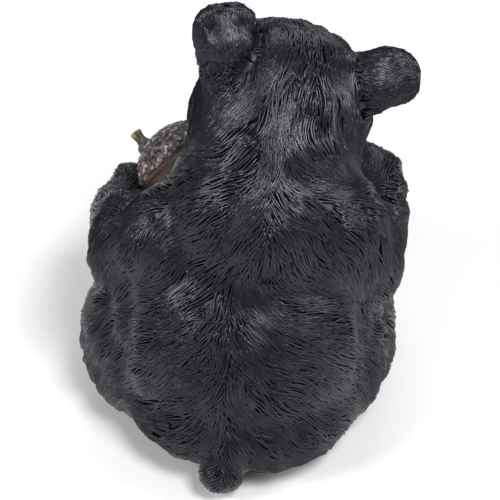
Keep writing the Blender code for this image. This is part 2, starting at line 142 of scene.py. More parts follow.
# Feet, given for the left side: centre and radii of the foot, then its toes
FOOT = ((45, -67, 20), (15, 10, 22))
TOES = 5
TOE_RADII = (4.8, 5.8, 4.8)
TOE_SHIFT = (1, -5, 3)
TOE_ARC = (13.0, 18.0)
TOE_FAN = math.radians(52)

# The head has its own frame, with its origin at its centre
HEAD_CENTRE = (-17, -24, 138)
HEAD_TURN = (0, math.radians(-16), math.radians(2))
HEAD_MASSES = (
    ((0, 0, 0), (36, 37, 35)),
    ((0, -26, -6), (19, 20, 15)),
)
CHEEK = ((19, -6, -12), (18, 24, 18))
BROW = ((13, -20, 13), (14, 14, 13))
MUZZLE = ((0, -30, -8, 14.5), (0, -42, -10, 12.5), (0, -50, -10, 10.5))
NOSE = ((0, -59, -5), (6.5, 4.5, 4.5))
CHIN = ((0, -46, -19), (8, 9, 5))
EYE = ((12.5, -33.5, 5.5), (3.6, 3.6, 3.6))
LID = ((12.5, -32.4, 8.0), (5.4, 3.6, 2.6))

# Each ear is a ring with a back plate, set on the skull and leaning outward
EARS = (
    ((32.5, 3, 28.5), math.radians(21), math.radians(12)),
    ((-34.5, 1, 27), math.radians(-53), math.radians(-12)),
)
EAR_RING = (9.6, 11.0)
EAR_RIM = 3.2
EAR_SQUARENESS = 0.8
EAR_STEPS = 32
EAR_PLATE = ((0, 2.6, 0), (11.5, 3.6, 13.0))
EAR_ROOT = ((0, 3, -3, 11), (0, 3, -13, 14.5))

# The line down the back from which the fur parts: height and its place across
PARTING = ((0, 0), (30, 0), (80, -1), (104, -8), (126, -14), (150, -19), (175, -26))
# How far the fur turns outward from straight down, by distance from the parting
RUMP_SWEEP = ((0, 8), (12, 40), (30, 56), (46, 46), (60, 20))
BACK_SWEEP = ((0, 6), (12, 30), (30, 38), (44, 12), (60, 0))
# On the head the fur runs from the nose to the nape, and fans out more on its left side
FLOW_SOURCE = (0, -58, 2)
FLOW_DRAIN = (-9, 22, 84)
HEAD_FAN = (1.3, 0.8)
FAN_REACH = 14.0
HEAD_DROP = (0.4, 0.8)
# The centre round which the body's fur turns, and the height of the waist
BODY_AXIS = (-3, 5)
WAIST = 92.0
# Soft borders of the fur's flow: where each lies, and how soft it is
WAIST_BORDER = (WAIST, 5)
HEAD_BORDER = (42, 4)
NAPE_BORDER = (-22, 6)
LEG_BORDER = (2, 6)
ARM_BORDER = (-20, 5)
# The pull of a limb on the fur round it: its strength, its reach and its droop
LIMB_PULL = 2.2
LIMB_REACH = 5.0
LIMB_DROOP = 0.35

# The folds where each thigh meets the rump, as lines over the skin, with their size
CREASES = (
    ((46, 28, 84), (42, 33, 72), (42, 41, 60), (50, 36, 44), (58, 29, 32)),
    ((-61, 22, 82), (-55, 24, 71), (-55, 29, 54), (-60, 28, 36)),
)
CREASE_DEPTH = 3.6
CREASE_WIDTH = 5.0
# Locks of fur: how long, wide and proud they are, and how far apart they start
LOCK_LENGTH = 18.0
LOCK_WIDTH = 5.4
LOCK_RISE = 2.5
LOCK_BED = 1.5
LOCK_SPACING = 9.0
LOCK_STEP = 1.5
# Locks differ in size, and each swells along its length and ends over this share of it
LOCK_SIZES = (0.8, 1.2)
LOCK_SWELL = 1.3
LOCK_ROOT = 0.3
LOCK_TIP = 0.2
FUR_SEED = 7
# How far the fur swirls to either side of its way, and the size of one swirl
SWIRL_TURN = math.radians(34)
SWIRL_SIZE = 20.0
# Short or bare skin round nose, eyes and ears: centre in the head's frame and radius
BARE_EAR = 15.0
BARE_HEAD = ((0, -58, -9, 20), (12.5, -34, 5.5, 12), (-12.5, -34, 5.5, 12))
BARE_EDGE = 3.0
# The soles: in front of this and below this the skin is bare
SOLE_FRONT = -71.5
SOLE_TOP = 48.0
# Fine hair: tufts of ridges that draw together at their tips. How long and wide a tuft
# is, by how much tufts differ, and how narrow they are where the hair is short
TUFT_LENGTH = 30.0
TUFT_HALF_WIDTH = 3.9
TUFT_SIZES = (0.75, 1.25)
SHORT_TUFT = 0.6
# How wide a tuft is at its root, how much it swells and how soon; how it draws together
TUFT_SHAPE = (0.78, 0.22, 1.3)
TUFT_DRAW = (0.75, 2.4)
# How far a tuft and each of its hairs sway aside, and through what angle
TUFT_SWAY = (1.3, 5.5)
HAIR_SWAY = (0.35, 9)
# A tuft's hairs: the fewest, how unevenly they lie, where they start, and how much
# sooner they end to its sides and by chance
FEWEST_HAIRS = 3
HAIR_SCATTER = 0.3
HAIR_START = 0.2
HAIR_END = (0.12, 0.15)
# Where the hair counts as long or short, and how wide the parting is
LONG_HAIR = 0.72
SHORT_HAIR = 0.42
PARTING_HALF_WIDTH = 3.0
# From how far to how far from the middle of an ear its base has closer hair
EAR_BASE = (14.0, 22.0)
# How far apart tufts start and how many steps their hairs have, where the hair is
# long, middling and short, along the parting and at the base of the ears
TUFT_ZONES = ((5.6, 9), (3.6, 5), (2.7, 4), (3.2, 9), (2.5, 5))
# Skin that is further than this from hair of this rise gets more, sooner at the base of
# the ears. How far apart these tufts start, the steps of their hairs, and their length
THIN_GAP = 1.5
EAR_GAP = 0.85
THIN_RISE = 0.15
THIN_ZONE = (2.6, 5)
THIN_LENGTH = 12.0
# Ridges: how far apart they are, how wide, proud and sunk, and by how much they differ
RIDGE_PITCH = 1.15
RIDGE_HALF_WIDTH = 0.72
RIDGE_WIDTHS = (0.85, 1.15)
RIDGE_RISE = 0.85
RIDGE_RISES = (0.65, 1.3)
RIDGE_SINK = 0.55
# The power of the hair's thickness that its ridges' width follows
RIDGE_THINNING = 0.7
# How a ridge lifts off the skin from root to tip, and how it narrows
RIDGE_LIFT = (-0.25, 0.5)
RIDGE_TAPER = (0.55, 3)
# How low a ridge is at its root and its tip, and over what share of it it gets there
RIDGE_ROOT = (0.1, 0.25)
RIDGE_TIP = (0.12, 0.16)
# How a ridge's height waves: by how much, how far from its neighbour, and how often
RIDGE_WAVE = (0.3, 3, 13)
# Each ridge has a square cell of the fur's texture, and each turned body a band of its
# own, with this share free at each side
CELL_EDGE = 0.06
BAND_EDGE = 0.02
# The skin under the hair: how it is evened out, its crest and tone, and its depth. Its crest
# is low, as painted shade between the hairs, and higher where the skin is bare
SKIN_SOFTENING = 3
SHADED_SKIN_CREST = 0.3
NAKED_CREST = 0.4
SKIN_TONE = 0.5
SKIN_DROP = 0.65

# Hair gets shorter and thinner towards the face and the muzzle: from what depth in the
# head's frame, over what depth, and how much length and thickness it loses
HEAD_REACH = 72.0
FACE_HAIR = (-2, 22, 0.66, 0.4)
MUZZLE_HAIR = (-34, 10, 0.1, 0.2)
# The same near the acorn, by the distance from it, and on the feet, by their depth, but
# not this close to the middle of the head
LIMB_REACH_FROM_HEAD = 60.0
PAW_HAIR = (40, 6)
FOOT_HAIR = (-54, 8)
LIMB_HAIR_LOSS = (0.5, 0.25)
# The ears' hair: how far from their middle, over what depth, its length and thickness
EAR_HAIR = (19, 4, 0.6, 0.85)
# The ears' flow: where its root lies, how far from their middle and over what depth
EAR_FLOW_ROOT = (0, 0, -26)
EAR_FLOW = (20, 5)
# Where the face is bare of hair: centre in the head's frame and radius
NAKED = ((0, -60, -6, 7.5), (12.5, -34.5, 5.5, 5.0), (-12.5, -34.5, 5.5, 5.0))
# No hair grows below this height, on the soles in front of this, below this and outside
# this, or closer to the acorn than this
HAIR_FLOOR = 1.5
NAKED_SOLE = (-71, 48, 25)
SEAT_MARGIN = 0.6
# The pieces of fur: the head's reach, the face's border, the middle between left and
# right, the limbs' borders to the front and to the sides, and the foot of the back
HEAD_PIECE = 52.0
FACE_PIECE = -42.0
MIDDLE = -4.0
LIMB_PIECE = -16.0
FLANK_PIECE = (44, 12)
BACK_PIECE = 74.0

# The mouth: a line down from the nose, which parts to both cheeks, and how it is cut
MOUTH = ((0, -59, -9), (0, -57, -14.5), (5, -54, -17), (10, -46, -16.5), (12.5, -39, -14))
MOUTH_DEPTH = 1.1
MOUTH_WIDTH = 0.9
# Where the skin has smaller faces for it: centre in the head's frame and radius
FINE_SKIN = (0, -48, -12, 17)
# The nose: how far it stands off the solid's, how it narrows below, each nostril's
# place, its pull and its radius, and the groove's half width and depth
NOSE_SKIN = 0.25
NOSE_NARROWING = 0.28
NOSTRIL = ((0.56, -0.8, -0.12), (-0.12, 0.62, 0.05), 0.27)
NOSE_GROOVE = (0.09, 0.22)
# How finely the small balls are divided
EYE_DETAIL = 4
NOSE_DETAIL = 5
PAD_DETAIL = 3

# The acorn's bark and shell, in metres
ACORN_TURNS = 240
OUTLINE_ROWS = 120
CAP_RINGS = 74
LIP_RINGS = 4
LIP_ROUND = 0.0006
CAP_WALL = 0.0012
CAP_FLAKE = 0.0046
CAP_FLATTENING = 1.3
CAP_RELIEF = 0.0011
CAP_LEVEL = 0.85
# How the flakes are bent: the noise's seed, and a wide and a narrow bending, each with
# its scale and strength; how wide the clefts are, and the scale of the flakes' own tones
FLAKE_SEED = 31
FLAKE_BENDS = ((1.1, 0.6), (3.7, 0.25))
CLEFT_WIDTH = 0.24
FLAKE_TONES = 7.3
# The bark's grain: a wide scale, a narrow one and the narrow one's share
BARK_GRAIN = (3.1, 8.3, 0.6)
# What makes a flake proud: itself, its own height and its lean, and the grain
FLAKE_RISE = (0.55, 0.6, 0.7)
GRAIN_RISE = 0.28
# What makes the crest pale: the flake, its upper edge and how sharp that is, the grain
FLAKE_CREST = (0.45, 0.32, 0.34)
EDGE_SHARPNESS = 2.2
NUT_RINGS = 90
NUT_SPACING = 0.9
NUT_RELIEF = 0.00055
# The nut's bands and clouds: how often they change across and along, and their shares
NUT_BANDS = (90, 700)
NUT_CLOUDS = (60, 240, 9)
NUT_SHARES = (0.6, 0.8, 1.0)
STEM_RINGS = 26
STEM_TURNS = 48
STEM_RELIEF = 0.0007
STEM_LEVEL = 0.6
STEM_HOLLOW = 0.0005
STEM_HOLE = (0.45, 0.7)
# The stem's ribs: how often they change across and along, per millimetre
STEM_RIBS = (1.3, 0.22)
MILLIMETRES = 1000

# Claws and the soles' pads, in design units
CLAW_RADIUS = 1.7
CLAW_RINGS = 10
CLAW_SIDES = 14
# How a claw draws to its point, how blunt that is, and a way that no claw points
CLAW_SHAPE = (1.8, 0.7)
CLAW_POINT = 0.06
CLAW_ASIDE = (0.31, 0.2, 0.93)
# A toe's claw: its length, its start before and inside the toes' arc, way and bend
TOE_CLAW = 7.0
TOE_CLAW_AHEAD = -7.0
TOE_CLAW_INSET = 1.0
TOE_CLAW_WAY = (0, -0.35, 0)
TOE_CLAW_BEND = (0, -0.5, 0)
TOE_CLAW_STEPS = 7
# A finger's claw: how far it reaches past the finger, and its height off the nut
CLAW_REACH = 0.30
CLAW_HEIGHTS = (2.6, 3.4)
CLAW_FALL = 1.6
SOLE_PADS = (((0, -8.4, 0), (9.5, 2.6, 7.5)), ((0, -7.2, -11), (6.5, 2.6, 5.0)))
TOE_PAD = (2.9, 1.6, 3.2)
TOE_PAD_SINK = 1.2
TOE_PAD_INSET = 1.5

BLACK = (0, 0, 0)
WHITE = (1, 1, 1)
# Black resin: colours by the crest, dark at the ridges' feet as painted shade in the grooves and
# greyer at their tops as a painted sheen; spans by the tone and by wide patches, roughness by
# crest and by tone, shine with its tint, and a fine grain with its depth and strength
RESIN_SHADE_AND_SHEEN = ((0.1, (0.0012, 0.0012, 0.0016)), (0.9, (0.0105, 0.0112, 0.0170)))
RESIN_TONES = (0.45, 1.5)
RESIN_PATCHES = (55, 2.0)
RESIN_PATCH_SPAN = (0.6, 1.35)
RESIN_GLOSS = ((0.55, 0.22), (0.46, 0.24))
RESIN_SHINE = 0.44
RESIN_TINT = (0.88, 0.90, 1.0, 1)
RESIN_BUMP = (2600, 3.0, 0.00008, 0.5)
# The small parts: the colours' grain, dark and pale; the gloss's grain and roughness;
# and, where it has one, the relief's grain with its depth and strength
EYE_FINISH = (
    (300, 4.0), (0.3, (0.004, 0.004, 0.004)), (0.7, (0.01, 0.008, 0.007)),
    (900, 4.0), (0.10, 0.2),
)
NOSE_FINISH = (
    (1900, 2.0), (0.3, (0.004, 0.004, 0.004)), (0.7, (0.016, 0.015, 0.015)),
    (1900, 2.0), (0.42, 0.26), (1900, 2.0, 0.0002, 0.7),
)
CLAW_FINISH = (
    (420, 3.0), (0.3, (0.007, 0.007, 0.008)), (0.75, (0.03, 0.029, 0.031)),
    (420, 3.0), (0.42, 0.28), (1500, 4.0, 0.0001, 0.5),
)
PAD_FINISH = (
    (1300, 5.0), (0.3, (0.007, 0.007, 0.008)), (0.7, (0.026, 0.025, 0.028)),
    (1300, 5.0), (0.62, 0.45), (1300, 5.0, 0.0003, 0.8),
)
# The acorn's bark: grey and brown flakes and the patches that are brown
BARK_GREYS = (
    (0.02, (0.006, 0.005, 0.005)),
    (0.24, (0.070, 0.058, 0.060)),
    (0.48, (0.15, 0.130, 0.134)),
    (0.72, (0.56, 0.53, 0.55)),
)
BARK_BROWNS = (
    (0.02, (0.010, 0.005, 0.0045)),
    (0.3, (0.15, 0.092, 0.086)),
    (0.75, (0.40, 0.30, 0.28)),
)
BROWN_PATCHES = (130, 3.0)
BROWN_SHARE = ((0.54, BLACK), (0.62, WHITE))
BARK_TONES = (0.6, 1.3)
BARK_GLOSS = (0.75, 0.5)
BARK_BUMP = (1400, 6.0, 0.0004, 0.8)
# Its shell
SHELL_COLOURS = (
    (0.3, (0.010, 0.0045, 0.0038)),
    (0.5, (0.047, 0.021, 0.017)),
    (0.72, (0.115, 0.070, 0.060)),
)
SHELL_TONES = (0.45, 1.5)
SHELL_SMEARS = (500, 4.0)
SHELL_GLOSS = (0.75, 0.58)
SHELL_BUMP = (1700, 4.0, 0.0002, 0.6)
# Its stem: olive below, yellow beige above, and where the one goes over into the other
STEM_OLIVES = ((0.3, (0.02, 0.017, 0.012)), (0.7, (0.12, 0.105, 0.075)))
STEM_BEIGES = ((0.3, (0.10, 0.08, 0.035)), (0.7, (0.50, 0.43, 0.20)))
STEM_TONES = ((0.55, BLACK), (0.95, WHITE))
STEM_GLOSS = (0.7, 0.5)
STEM_BUMP = (1800, 5.0, 0.0003, 0.8)

# Floor, sky and lights: a light's name, place, size and power
FLOOR_SIZE = 30
FLOOR_WHITE = (0.9, 0.9, 0.9, 1)
FLOOR_ROUGHNESS = 0.9
SKY_STRENGTH = 0.17
SKY_SEEN = 0.95
LIGHTS = (
    ("key", (-0.35, 0.55, 1.05), (0.35, 0.3), 10.5),
    ("left", (0.75, 0.55, 0.75), (0.35, 0.3), 7),
    ("right", (-0.95, 0.15, 0.6), (0.3, 0.4), 4.5),
    ("front", (0.1, -0.9, 0.8), (0.9, 0.5), 4),
)
# The camera looks down on the bear from behind, as in the photo
CAMERA_AZIMUTH = math.radians(185)
CAMERA_RISE = math.radians(40)
CAMERA_DISTANCE = 0.75
CAMERA_NEAR = 0.01
CAMERA_TARGET = (0.0014, 0.0074, 0.080)
PIXELS_PER_METRE = 2380
IMAGE_SIZE = 500
IMAGE_CENTRE_X = 237


# Building the sculpted form out of balls


def add_ball(work, place, centre, radii):
    """Add one closed ellipsoid, with more faces where it is large."""
    placed = place @ Matrix.Translation(Vector(centre)) @ Matrix.Diagonal((*radii, 1))
    detail = LARGE_DETAIL if max(radii) > LARGE_BALL else SMALL_DETAIL
    bmesh.ops.create_icosphere(work, subdivisions=detail, radius=1, matrix=placed)


def add_chain(work, place, stations):
    """A limb: close-set balls that swell and shrink from station to station."""
    for start, end in zip(stations[:-1], stations[1:]):
        span = (Vector(end[:3]) - Vector(start[:3])).length
        steps = max(1, math.ceil(span / (CHAIN_STEP * min(start[3], end[3]))))
        for step in range(steps + 1):
            share = step / steps
            x, y, z, r = (a + (b - a) * share for a, b in zip(start, end))
            add_ball(work, place, (x, y, z), (r, r, r))


def mirrored(stations):
    return tuple((-row[0], *row[1:]) for row in stations)


def add_pair(work, place, mass):
    """The same mass on the left and on the right."""
    (x, y, z), radii = mass
    for side in (1, -1):
        add_ball(work, place, (side * x, y, z), radii)


def add_item(name, data):
    """Put an object with its data into the scene."""
    item = bpy.data.objects.new(name, data)
    bpy.context.scene.collection.objects.link(item)
    return item


def finished(work, name):
    """Turn a working mesh into a mesh."""
    mesh = bpy.data.meshes.new(name)
    work.to_mesh(mesh)
    work.free()
    return mesh


def head_frame():
    return Matrix.Translation(Vector(HEAD_CENTRE)) @ Euler(HEAD_TURN).to_matrix().to_4x4()


STILL = Matrix.Identity(4)


def placing():
    """From design units to metres, over the origin."""
    return Matrix.Scale(UNIT, 4) @ Matrix.Translation(Vector(STANCE))


def acorn_frame():
    """The acorn's own frame in design units: its stem points along +Z."""
    lean = Vector(ACORN_AXIS).normalized().to_track_quat("Z", "Y").to_matrix().to_4x4()
    return Matrix.Translation(Vector(ACORN_CENTRE)) @ lean


def fingers(paw):
    """A paw's palm and reach as unit ways, and how far aside each of its fingers lies."""
    palm, reach = (Vector(way).normalized() for way in paw)
    across = palm.cross(reach).normalized()
    asides = [across * (finger - (FINGERS - 1) / 2) * FINGER_GAP for finger in range(FINGERS)]
    return palm, reach, asides


def add_paw(work, paw):
    """Fingers that lie on the acorn, side by side, from the palm to their tips."""
    palm, reach, asides = fingers(paw)
    centre = Vector(ACORN_CENTRE)
    nut = NUT_RADIUS / UNIT
    rest = centre + palm * (nut + FINGER_LIFT[1] + PALM_LIFT)
    add_ball(work, Matrix.Translation(rest), (0, 0, 0), (PALM_RADIUS,) * 3)
    for aside in asides:
        stations = []
        for step in range(FINGER_STEPS + 1):
            share = step / FINGER_STEPS
            lift, radius = (a + (b - a) * share for a, b in (FINGER_LIFT, FINGER_RADII))
            way = palm.slerp(reach, share) * (nut + lift) + aside
            stations.append((*(centre + way.normalized() * (nut + lift)), radius))
        add_chain(work, STILL, stations)


def toe_angles():
    return [TOE_FAN * (2 * toe / (TOES - 1) - 1) for toe in range(TOES)]


def toe_spot(side, angle, arc=TOE_ARC, ahead=TOE_SHIFT[1]):
    """A spot on the toes' arc or a smaller one, this far ahead of the foot's middle."""
    (x, y, z), _ = FOOT
    return (
        side * (x + TOE_SHIFT[0]) + arc[0] * math.sin(angle),
        y + ahead,
        z + TOE_SHIFT[2] + arc[1] * math.cos(angle),
    )


def add_foot(work, side):
    """A foot with its sole to the front and a row of toes across the top."""
    (x, y, z), radii = FOOT
    add_ball(work, STILL, (side * x, y, z), radii)
    for angle in toe_angles():
        add_ball(work, STILL, toe_spot(side, angle), TOE_RADII)


def ear_frames():
    """Where each ear's ring is centred, with +Z towards the ear's tip and -Y its hollow side."""
    for centre, splay, turn in EARS:
        lean = Euler((0, splay, turn)).to_matrix().to_4x4()
        yield head_frame() @ Matrix.Translation(Vector(centre)) @ lean


def rounded_square(share):
    """A spot on a unit ring whose corners bulge outward."""
    across, along = math.sin(2 * math.pi * share), math.cos(2 * math.pi * share)
    return (
        math.copysign(abs(across) ** EAR_SQUARENESS, across),
        math.copysign(abs(along) ** EAR_SQUARENESS, along),
    )


def add_ear(work, ear):
    for step in range(EAR_STEPS):
        across, along = rounded_square(step / EAR_STEPS)
        spot = (EAR_RING[0] * across, 0, EAR_RING[1] * along)
        add_ball(work, ear, spot, (EAR_RIM, EAR_RIM, EAR_RIM))
    add_ball(work, ear, *EAR_PLATE)
    add_chain(work, ear, EAR_ROOT)


def fuse(work, voxel, rounds, name):
    """Turn the closed shells of the working mesh into one smooth skin."""
    item = add_item(name, finished(work, name))
    skin = item.modifiers.new("skin", "REMESH")
    skin.mode = "VOXEL"
    skin.voxel_size = voxel
    blend = item.modifiers.new("blend", "SMOOTH")
    blend.factor = SMOOTH_FACTOR
    blend.iterations = rounds
    seen = item.evaluated_get(bpy.context.evaluated_depsgraph_get())
    result = bpy.data.meshes.new_from_object(seen)
    bpy.data.objects.remove(item, do_unlink=True)
    return result


def body_skin():
    """The big forms, blended softly into each other."""
    head = head_frame()
    work = bmesh.new()
    for centre, radii in BODY_MASSES:
        add_ball(work, STILL, centre, radii)
    add_pair(work, STILL, HAUNCH)
    add_chain(work, STILL, LEG)
    add_chain(work, STILL, mirrored(LEG))
    add_chain(work, STILL, LEFT_ARM)
    add_chain(work, STILL, RIGHT_ARM)
    for centre, radii in HEAD_MASSES:
        add_ball(work, head, centre, radii)
    add_pair(work, head, CHEEK)
    add_pair(work, head, BROW)
    add_chain(work, head, MUZZLE)
    return fuse(work, COARSE_VOXEL, COARSE_ROUNDS, "body")


def bear_skin():
    """The whole bear in design units: the body with its small forms added."""
    head = head_frame()
    work = bmesh.new()
    work.from_mesh(body_skin())
    for side, ear in zip((1, -1), ear_frames()):
        add_ear(work, ear)
        add_foot(work, side)
    add_ball(work, STILL, *TAIL)
    add_ball(work, head, *NOSE)
    add_ball(work, head, *CHIN)
    add_pair(work, head, EYE)
    add_pair(work, head, LID)
    add_paw(work, LEFT_PAW)
    add_paw(work, RIGHT_PAW)
    return fuse(work, FINE_VOXEL, FINE_ROUNDS, "bear")


# The way the fur lies


def ramp(value, table):
    """Read a smooth value from a short table of pairs."""
    keys, values = zip(*table)
    return np.interp(value, keys, values)


def unit(rows):
    return rows / np.maximum(np.linalg.norm(rows, axis=-1, keepdims=True), 1e-9)


def distance(spots, centre):
    return np.linalg.norm(spots - np.array(centre), axis=-1)


def along_skin(flow, normals):
    """The unit way of the flow along the skin."""
    return unit(flow - normals * (flow * normals).sum(axis=1)[:, None])


def below(values, border):
    """One below a soft border and nought above it."""
    return 1 / (1 + np.exp((values - border[0]) / border[1]))


def torso_flow(spots):
    """From the parting outward and down, round the body."""
    across = spots[:, 0] - ramp(spots[:, 2], PARTING)
    side = np.where(across < 0, -1.0, 1.0)
    low = below(spots[:, 2], WAIST_BORDER)
    sweep = low * ramp(abs(across), RUMP_SWEEP) + (1 - low) * ramp(abs(across), BACK_SWEEP)
    sweep = np.radians(sweep)
    round_body = unit(spots[:, :2] - np.array(BODY_AXIS))
    outward = np.stack([side * round_body[:, 1], -side * round_body[:, 0]], axis=1)
    flow = np.zeros_like(spots)
    flow[:, :2] = outward * np.sin(sweep)[:, None]
    flow[:, 2] = -np.cos(sweep)
    return flow


def head_flow(spots):
    """Away from the nose, over the brow and cheeks, and down and out to the neck."""
    head = head_frame()
    away = unit(spots - np.array(head @ Vector(FLOW_SOURCE)))
    down = unit(np.array(FLOW_DRAIN) - spots)
    across = spots[:, :1] - ramp(spots[:, 2], PARTING)[:, None]
    fan = np.where(across > 0, *HEAD_FAN) * np.clip(across / FAN_REACH, -1, 1)
    outward = fan * np.array(head.to_3x3() @ Vector((1, 0, 0)))
    behind = 1 - below(spots[:, 1:2], NAPE_BORDER)
    return unit(away + down * (HEAD_DROP[0] + HEAD_DROP[1] * behind) + outward * behind)


def limb_flow(spots, stations):
    """Along a limb towards its end, where a spot is close to it."""
    rows = np.array(stations, dtype=float)
    flow = np.zeros_like(spots)
    for start, end in zip(rows[:-1], rows[1:]):
        along = unit(end[:3] - start[:3])
        span = np.linalg.norm(end[:3] - start[:3])
        reach = np.clip((spots - start[:3]) @ along / span, 0, 1)[:, None]
        axis_spot = start[:3] + reach * (end[:3] - start[:3])
        girth = start[3] + reach[:, 0] * (end[3] - start[3])
        beyond = np.linalg.norm(spots - axis_spot, axis=1) - girth
        weight = LIMB_PULL * np.exp(-((np.maximum(beyond, 0) / LIMB_REACH) ** 2))
        flow += (along - np.array((0, 0, LIMB_DROOP))) * weight[:, None]
    return flow


def fur_flow(spots, normals):
    """The unit direction in which the fur lies at each spot of the skin."""
    head_share = below(distance(spots, HEAD_CENTRE), HEAD_BORDER)[:, None]
    flow = torso_flow(spots)
    for limb, border in (
        (LEG, LEG_BORDER),
        (mirrored(LEG), LEG_BORDER),
        (LEFT_ARM[1:], ARM_BORDER),
        (RIGHT_ARM[1:], ARM_BORDER),
    ):
        flow += limb_flow(spots, limb) * below(spots[:, 1:2], border)
    flow = flow * (1 - head_share) + head_flow(spots) * head_share
    flow = along_skin(flow, normals)
    turn = SWIRL_TURN * np.array([noise.noise(Vector(spot) / SWIRL_SIZE) for spot in spots])
    return flow * np.cos(turn)[:, None] + np.cross(normals, flow) * np.sin(turn)[:, None]


def soft_step(values):
    """Nought well below zero and one well above it, in design units."""
    return np.clip(values / (2 * BARE_EDGE) + 0.5, 0, 1)


def within(spots, centre, radius):
    """One inside a ball and nought outside it, soft between."""
    return soft_step(radius - distance(spots, centre))


def bare_skin(spots):
    """One where the skin is bare, nought where it has fur, soft between."""
    bare = soft_step(SOLE_FRONT - spots[:, 1]) * soft_step(SOLE_TOP - spots[:, 2])
    for x, y, z, r in BARE_HEAD:
        bare = np.maximum(bare, within(spots, head_frame() @ Vector((x, y, z)), r))
    for ear in ear_frames():
        bare = np.maximum(bare, within(spots, ear.translation, BARE_EAR))
    return bare


# The skin and its large locks


def vertex_tree(spots):
    tree = KDTree(len(spots))
    for index, spot in enumerate(spots):
        tree.insert(spot, index)
    tree.balance()
    return tree


def spread_starts(spots, spacing, seed, tree):
    """Pick spots in a seeded order so that no two are closer than the spacing."""
    order = np.random.default_rng(seed).permutation(len(spots))
    taken = np.zeros(len(spots), dtype=bool)
    starts = []
    for index in order:
        if taken[index]:
            continue
        starts.append(index)
        for _, near, _ in tree.find_range(spots[index], spacing):
            taken[near] = True
    return starts


class Skin:
    """A skin's vertices with their normals, the way of the fur and a search tree."""

    def __init__(self, mesh):
        self.spots = np.array([vertex.co for vertex in mesh.vertices])
        self.normals = np.array([vertex.normal for vertex in mesh.vertices])
        self.flow = ear_flow(self.spots, self.normals, fur_flow(self.spots, self.normals))
        self.tree = vertex_tree(self.spots)


def faded(values, edge, depth):
    """One well below the edge and nought above it, with a slope of this depth."""
    return np.clip((edge - values) / depth, 0, 1)


def ear_distances(spots):
    """How far each spot is from the middle of each ear."""
    for ear in ear_frames():
        yield distance(spots, ear.translation)


def ear_flow(spots, normals, flow):
    """On the ears the hair runs from the root to the tip, and round their base."""
    for ear, reach in zip(ear_frames(), ear_distances(spots)):
        share = faded(reach, *EAR_FLOW)[:, None]
        outward = unit(spots - np.array(ear @ Vector(EAR_FLOW_ROOT)))
        outward = along_skin(outward, normals)
        around = np.cross(normals, outward) * np.sign(ear.translation.x - HEAD_CENTRE[0])
        flow = flow * (1 - share) + outward * share + around * (4 * share * (1 - share))
    return unit(flow)


def trace_lock(skin, start, length):
    """Follow the fur over the skin from a starting vertex."""
    path, passed = [skin.spots[start]], [start]
    index = start
    for _ in range(int(length / LOCK_STEP)):
        ahead = path[-1] + skin.flow[index] * LOCK_STEP
        _, index, _ = skin.tree.find(ahead)
        above = (ahead - skin.spots[index]) @ skin.normals[index]
        path.append(ahead - skin.normals[index] * above)
        passed.append(index)
    return np.array(path), np.array(passed)


def lock_relief(skin):
    """How far each vertex rises: overlapping locks that end in a point."""
    starts = spread_starts(skin.spots, LOCK_SPACING, FUR_SEED, skin.tree)
    sizes = np.random.default_rng(FUR_SEED).uniform(*LOCK_SIZES, len(starts))
    height = np.full(len(skin.spots), -LOCK_BED)
    for size, start in zip(sizes, starts):
        path, _ = trace_lock(skin, start, LOCK_LENGTH * size)
        for step, spot in enumerate(path):
            share = step / (len(path) - 1)
            swell = max(0.0, math.sin(math.pi * share ** LOCK_SWELL))
            width = LOCK_WIDTH * size * math.sqrt(swell) + LOCK_STEP / 2
            rise = LOCK_RISE * (LOCK_ROOT + (1 - LOCK_ROOT) * share)
            rise *= min(1.0, (1.0 - share) / LOCK_TIP)
            for _, near, distance in skin.tree.find_range(spot, width):
                bump = rise * (1 - (distance / width) ** 2) - LOCK_BED
                height[near] = max(height[near], bump)
    return height * (1 - bare_skin(skin.spots)) - fold_depth(skin.spots)


def line_distance(spots, line):
    """How far each spot is from a line of points."""
    nearest = np.full(len(spots), np.inf)
    for start, end in zip(np.array(line[:-1], float), np.array(line[1:], float)):
        span = end - start
        share = np.clip((spots - start) @ span / (span @ span), 0, 1)[:, None]
        nearest = np.minimum(nearest, np.linalg.norm(spots - start - share * span, axis=1))
    return nearest


def fold_depth(spots):
    """How deep the folds by the thighs are at each spot."""
    nearest = np.minimum(*(line_distance(spots, crease) for crease in CREASES))
    return CREASE_DEPTH * np.exp(-((nearest / CREASE_WIDTH) ** 2))


def mouth_depth(spots):
    """How deep the mouth is cut at each spot."""
    head = head_frame()
    sides = (MOUTH, mirrored(MOUTH))
    lines = [[head @ Vector(spot) for spot in side] for side in sides]
    nearest = np.minimum(*(line_distance(spots, line) for line in lines))
    return MOUTH_DEPTH * np.exp(-((nearest / MOUTH_WIDTH) ** 2))


def softened(mesh, values, rounds):
    """Even the values out along the mesh's edges."""
    ends = np.zeros(len(mesh.edges) * 2, dtype=np.int64)
    mesh.edges.foreach_get("vertices", ends)
    first, second = ends[0::2], ends[1::2]
    count = np.bincount(first, minlength=len(values)) + np.bincount(second, minlength=len(values))
    for _ in range(rounds):
        total = np.bincount(first, values[second], len(values))
        total += np.bincount(second, values[first], len(values))
        values = 0.5 * values + 0.5 * total / np.maximum(count, 1)
    return values


# Fine hair combed over the skin


def in_head(spots):
    return moved(spots, np.array(head_frame().inverted()))


